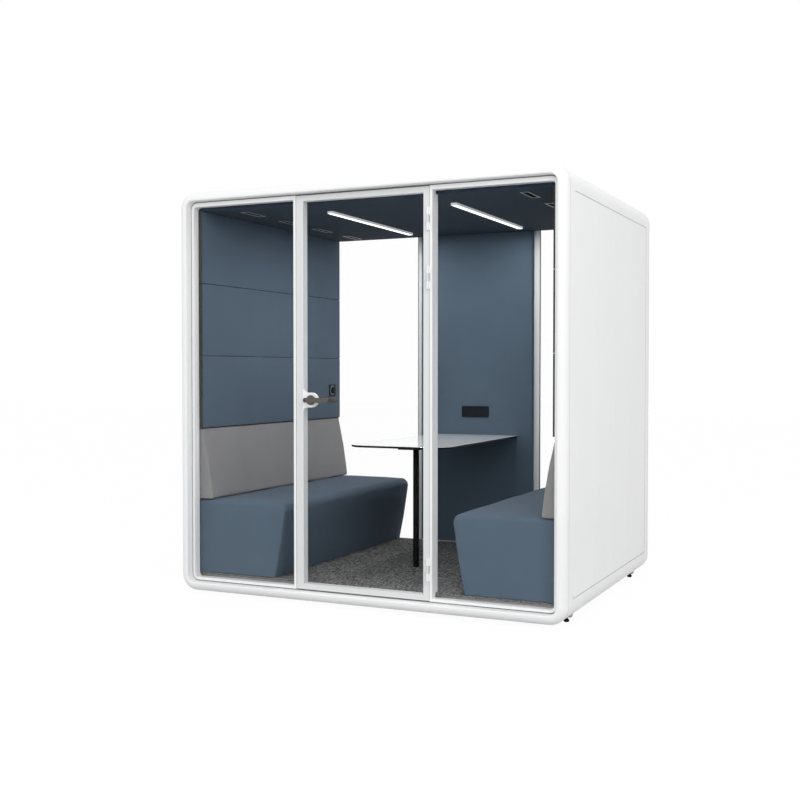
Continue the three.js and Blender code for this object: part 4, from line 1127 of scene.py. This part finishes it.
def vent_trim(name, x, y):
    """A thin rim under the ceiling with slats behind it."""
    half_x, half_y = VENT_HALF
    rim_z = tuple(CEILING - drop for drop in VENT_RIM_DROP)
    slat_z = tuple(CEILING + rise for rise in SLAT_RISE)
    outside, inside = around(x, half_x + VENT_RIM), around(x, half_x - VENT_RIM)
    along = around(y, half_y - VENT_RIM)
    pieces = []
    for i, sign in enumerate((-1, 1)):
        across = around(x + sign * half_x, VENT_RIM)
        end = around(y + sign * half_y, VENT_RIM)
        pieces.append(block(f"{name}_end_{i}", outside, end, rim_z, HOUSING))
        pieces.append(block(f"{name}_side_{i}", across, along, rim_z, HOUSING))
    for i in range(SLAT_COUNT):
        slat = around(y + (i - SLAT_COUNT // 2) * SLAT_PITCH, SLAT_HALF)
        pieces.append(block(f"{name}_slat_{i}", inside, slat, slat_z, DARK_METAL))
    return fasten(joined(name, pieces), "pod", "black_metal")


for side, sign in SIDES:
    for i in range(VENT_COUNT):
        vent_trim(f"{side}_vent_trim_{i + 1}", sign * VENT_X, VENT_FIRST_Y + VENT_STEP * i)


# Power outlet and wall control
dressed("power_outlet", "pod", "black_plastic", DARK_PLASTIC, OUTLET_EDGE, segments=2)
dressed("control_plate", "pod", "black_plastic", DARK_PLASTIC, CONTROL_EDGE, segments=2)
knob = turned("control_knob_finish", KNOB_PROFILE, KNOB_PLACE, (1, 0, 0), DARK_PLASTIC)
fasten(knob, "knob", "black_plastic", "control_knob")
bezel_profile = arc((BEZEL_RADIUS, 0.0), BEZEL_BEAD, 0, 360, BEAD_SIDES)[:-1]
bezel = turned("control_bezel", bezel_profile, KNOB_PLACE, (1, 0, 0), HOUSING, closed=True)
fasten(bezel, "pod", "lamp_aluminium")


# Feet and wheels
whole_wheel = WHEEL_PROFILE + [(radius, -height) for radius, height in reversed(WHEEL_PROFILE)]
for side, sign in SIDES:
    for end, y in FOOT_YS.items():
        node = f"{end}_{side}_foot"
        foot = turned(f"{node}_finish", FOOT_PROFILE, (sign * FOOT_X, y, 0.0), (0, 0, 1), DARK_METAL)
        fasten(foot, node, "black_metal", node)
        node = f"{end}_{side}_wheel"
        place = (sign * WHEEL_X, y + WHEEL_OFFSET, WHEEL_HEIGHT)
        roller = turned(f"{node}_finish", whole_wheel, place, (1, 0, 0), WHEEL)
        fasten(roller, node, "grey_nylon", node)


# Solids that stay as they are and only get their material
PANES = ["front_right_glass", "front_left_glass", "rear_right_glass", "rear_left_glass", "door_glass"]
KEPT = {
    GLASS: PANES,
    DARK_PLASTIC: ["right_air_duct", "left_air_duct", "fan_frame", "fan_impeller"],
    LEVER: ["latch_bolt"],
}
for material, nodes in KEPT.items():
    for node in nodes:
        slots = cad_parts[node].data.materials
        slots.clear()
        slots.append(material)


# Camera
def add_camera():
    data = bpy.data.cameras.new("camera")
    data.lens = LENS
    data.sensor_width = SENSOR
    camera = bpy.data.objects.new("camera", data)
    camera.location = CAMERA_PLACE
    camera.rotation_euler = (math.radians(CAMERA_TILT), 0.0, math.radians(CAMERA_TURN))
    bpy.context.scene.collection.objects.link(camera)
    bpy.context.scene.camera = camera


# Light and background
def background_share(nodes, links):
    """1 for rays that see the background itself, 0 for rays that gather its light."""
    path = nodes.new("ShaderNodeLightPath")
    names = ("Is Camera Ray", "Is Glossy Ray", "Is Transmission Ray")
    return combined(nodes, links, "MAXIMUM", [path.outputs[name] for name in names])


def add_world():
    world = bpy.data.worlds.new("studio")
    world.use_nodes = True
    nodes, links = world.node_tree.nodes, world.node_tree.links
    nodes.clear()
    output = nodes.new("ShaderNodeOutputWorld")
    light = nodes.new("ShaderNodeBackground")
    light.inputs["Color"].default_value = (*WHITE, 1.0)
    light.inputs["Strength"].default_value = WORLD_LIGHT
    seen = nodes.new("ShaderNodeBackground")
    seen.inputs["Color"].default_value = (*WHITE, 1.0)
    seen.inputs["Strength"].default_value = 1.0
    mix = nodes.new("ShaderNodeMixShader")
    links.new(background_share(nodes, links), mix.inputs["Fac"])
    links.new(light.outputs["Background"], mix.inputs[1])
    links.new(seen.outputs["Background"], mix.inputs[2])
    links.new(mix.outputs["Shader"], output.inputs["Surface"])
    bpy.context.scene.world = world


def add_floor():
    """A white floor: most of its brightness is its own for rays that see it, the rest shows shadow."""
    material = bpy.data.materials.new("floor")
    material.use_nodes = True
    nodes, links = material.node_tree.nodes, material.node_tree.links
    nodes.clear()
    output = nodes.new("ShaderNodeOutputMaterial")
    matt = nodes.new("ShaderNodeBsdfDiffuse")
    matt.inputs["Color"].default_value = (*FLOOR_COLOR, 1.0)
    glow = nodes.new("ShaderNodeEmission")
    glow.inputs["Color"].default_value = (*WHITE, 1.0)
    glow.inputs["Strength"].default_value = FLOOR_SEEN
    share = nodes.new("ShaderNodeMath")
    share.operation = "MULTIPLY"
    share.inputs[1].default_value = FLOOR_GLOW
    links.new(background_share(nodes, links), share.inputs[0])
    mix = nodes.new("ShaderNodeMixShader")
    links.new(share.outputs["Value"], mix.inputs["Fac"])
    links.new(matt.outputs["BSDF"], mix.inputs[1])
    links.new(glow.outputs["Emission"], mix.inputs[2])
    links.new(mix.outputs["Shader"], output.inputs["Surface"])
    half = FLOOR_SIZE / 2
    verts = [(-half, -half, 0.0), (half, -half, 0.0), (half, half, 0.0), (-half, half, 0.0)]
    floor = add_mesh("floor", verts, [[0, 1, 2, 3]], [material])


def add_area(name, place, aim, width, height, power):
    data = bpy.data.lights.new(name, "AREA")
    data.shape = "RECTANGLE"
    data.size = width
    data.size_y = height
    data.energy = power
    light = bpy.data.objects.new(name, data)
    light.location = place
    light.rotation_euler = (Vector(aim) - Vector(place)).to_track_quat("-Z", "Y").to_euler()
    bpy.context.scene.collection.objects.link(light)
    return light


def add_lights():
    add_area("key", KEY_PLACE, KEY_AIM, KEY_SIZE, KEY_SIZE, KEY_POWER)
    add_area("fill", FILL_PLACE, KEY_AIM, KEY_SIZE, KEY_SIZE, FILL_POWER)
    for side, sign in SIDES:
        place = (sign * LAMP_X, LAMP_Y, LAMP_LOW)
        below = (sign * LAMP_X, LAMP_Y, 0.0)
        add_area(f"{side}_lamp_light", place, below, *LAMP_GLOW_SIZE, LAMP_POWER)


add_camera()
add_world()
add_floor()
add_lights()
bpy.context.scene.view_settings.view_transform = "Standard"
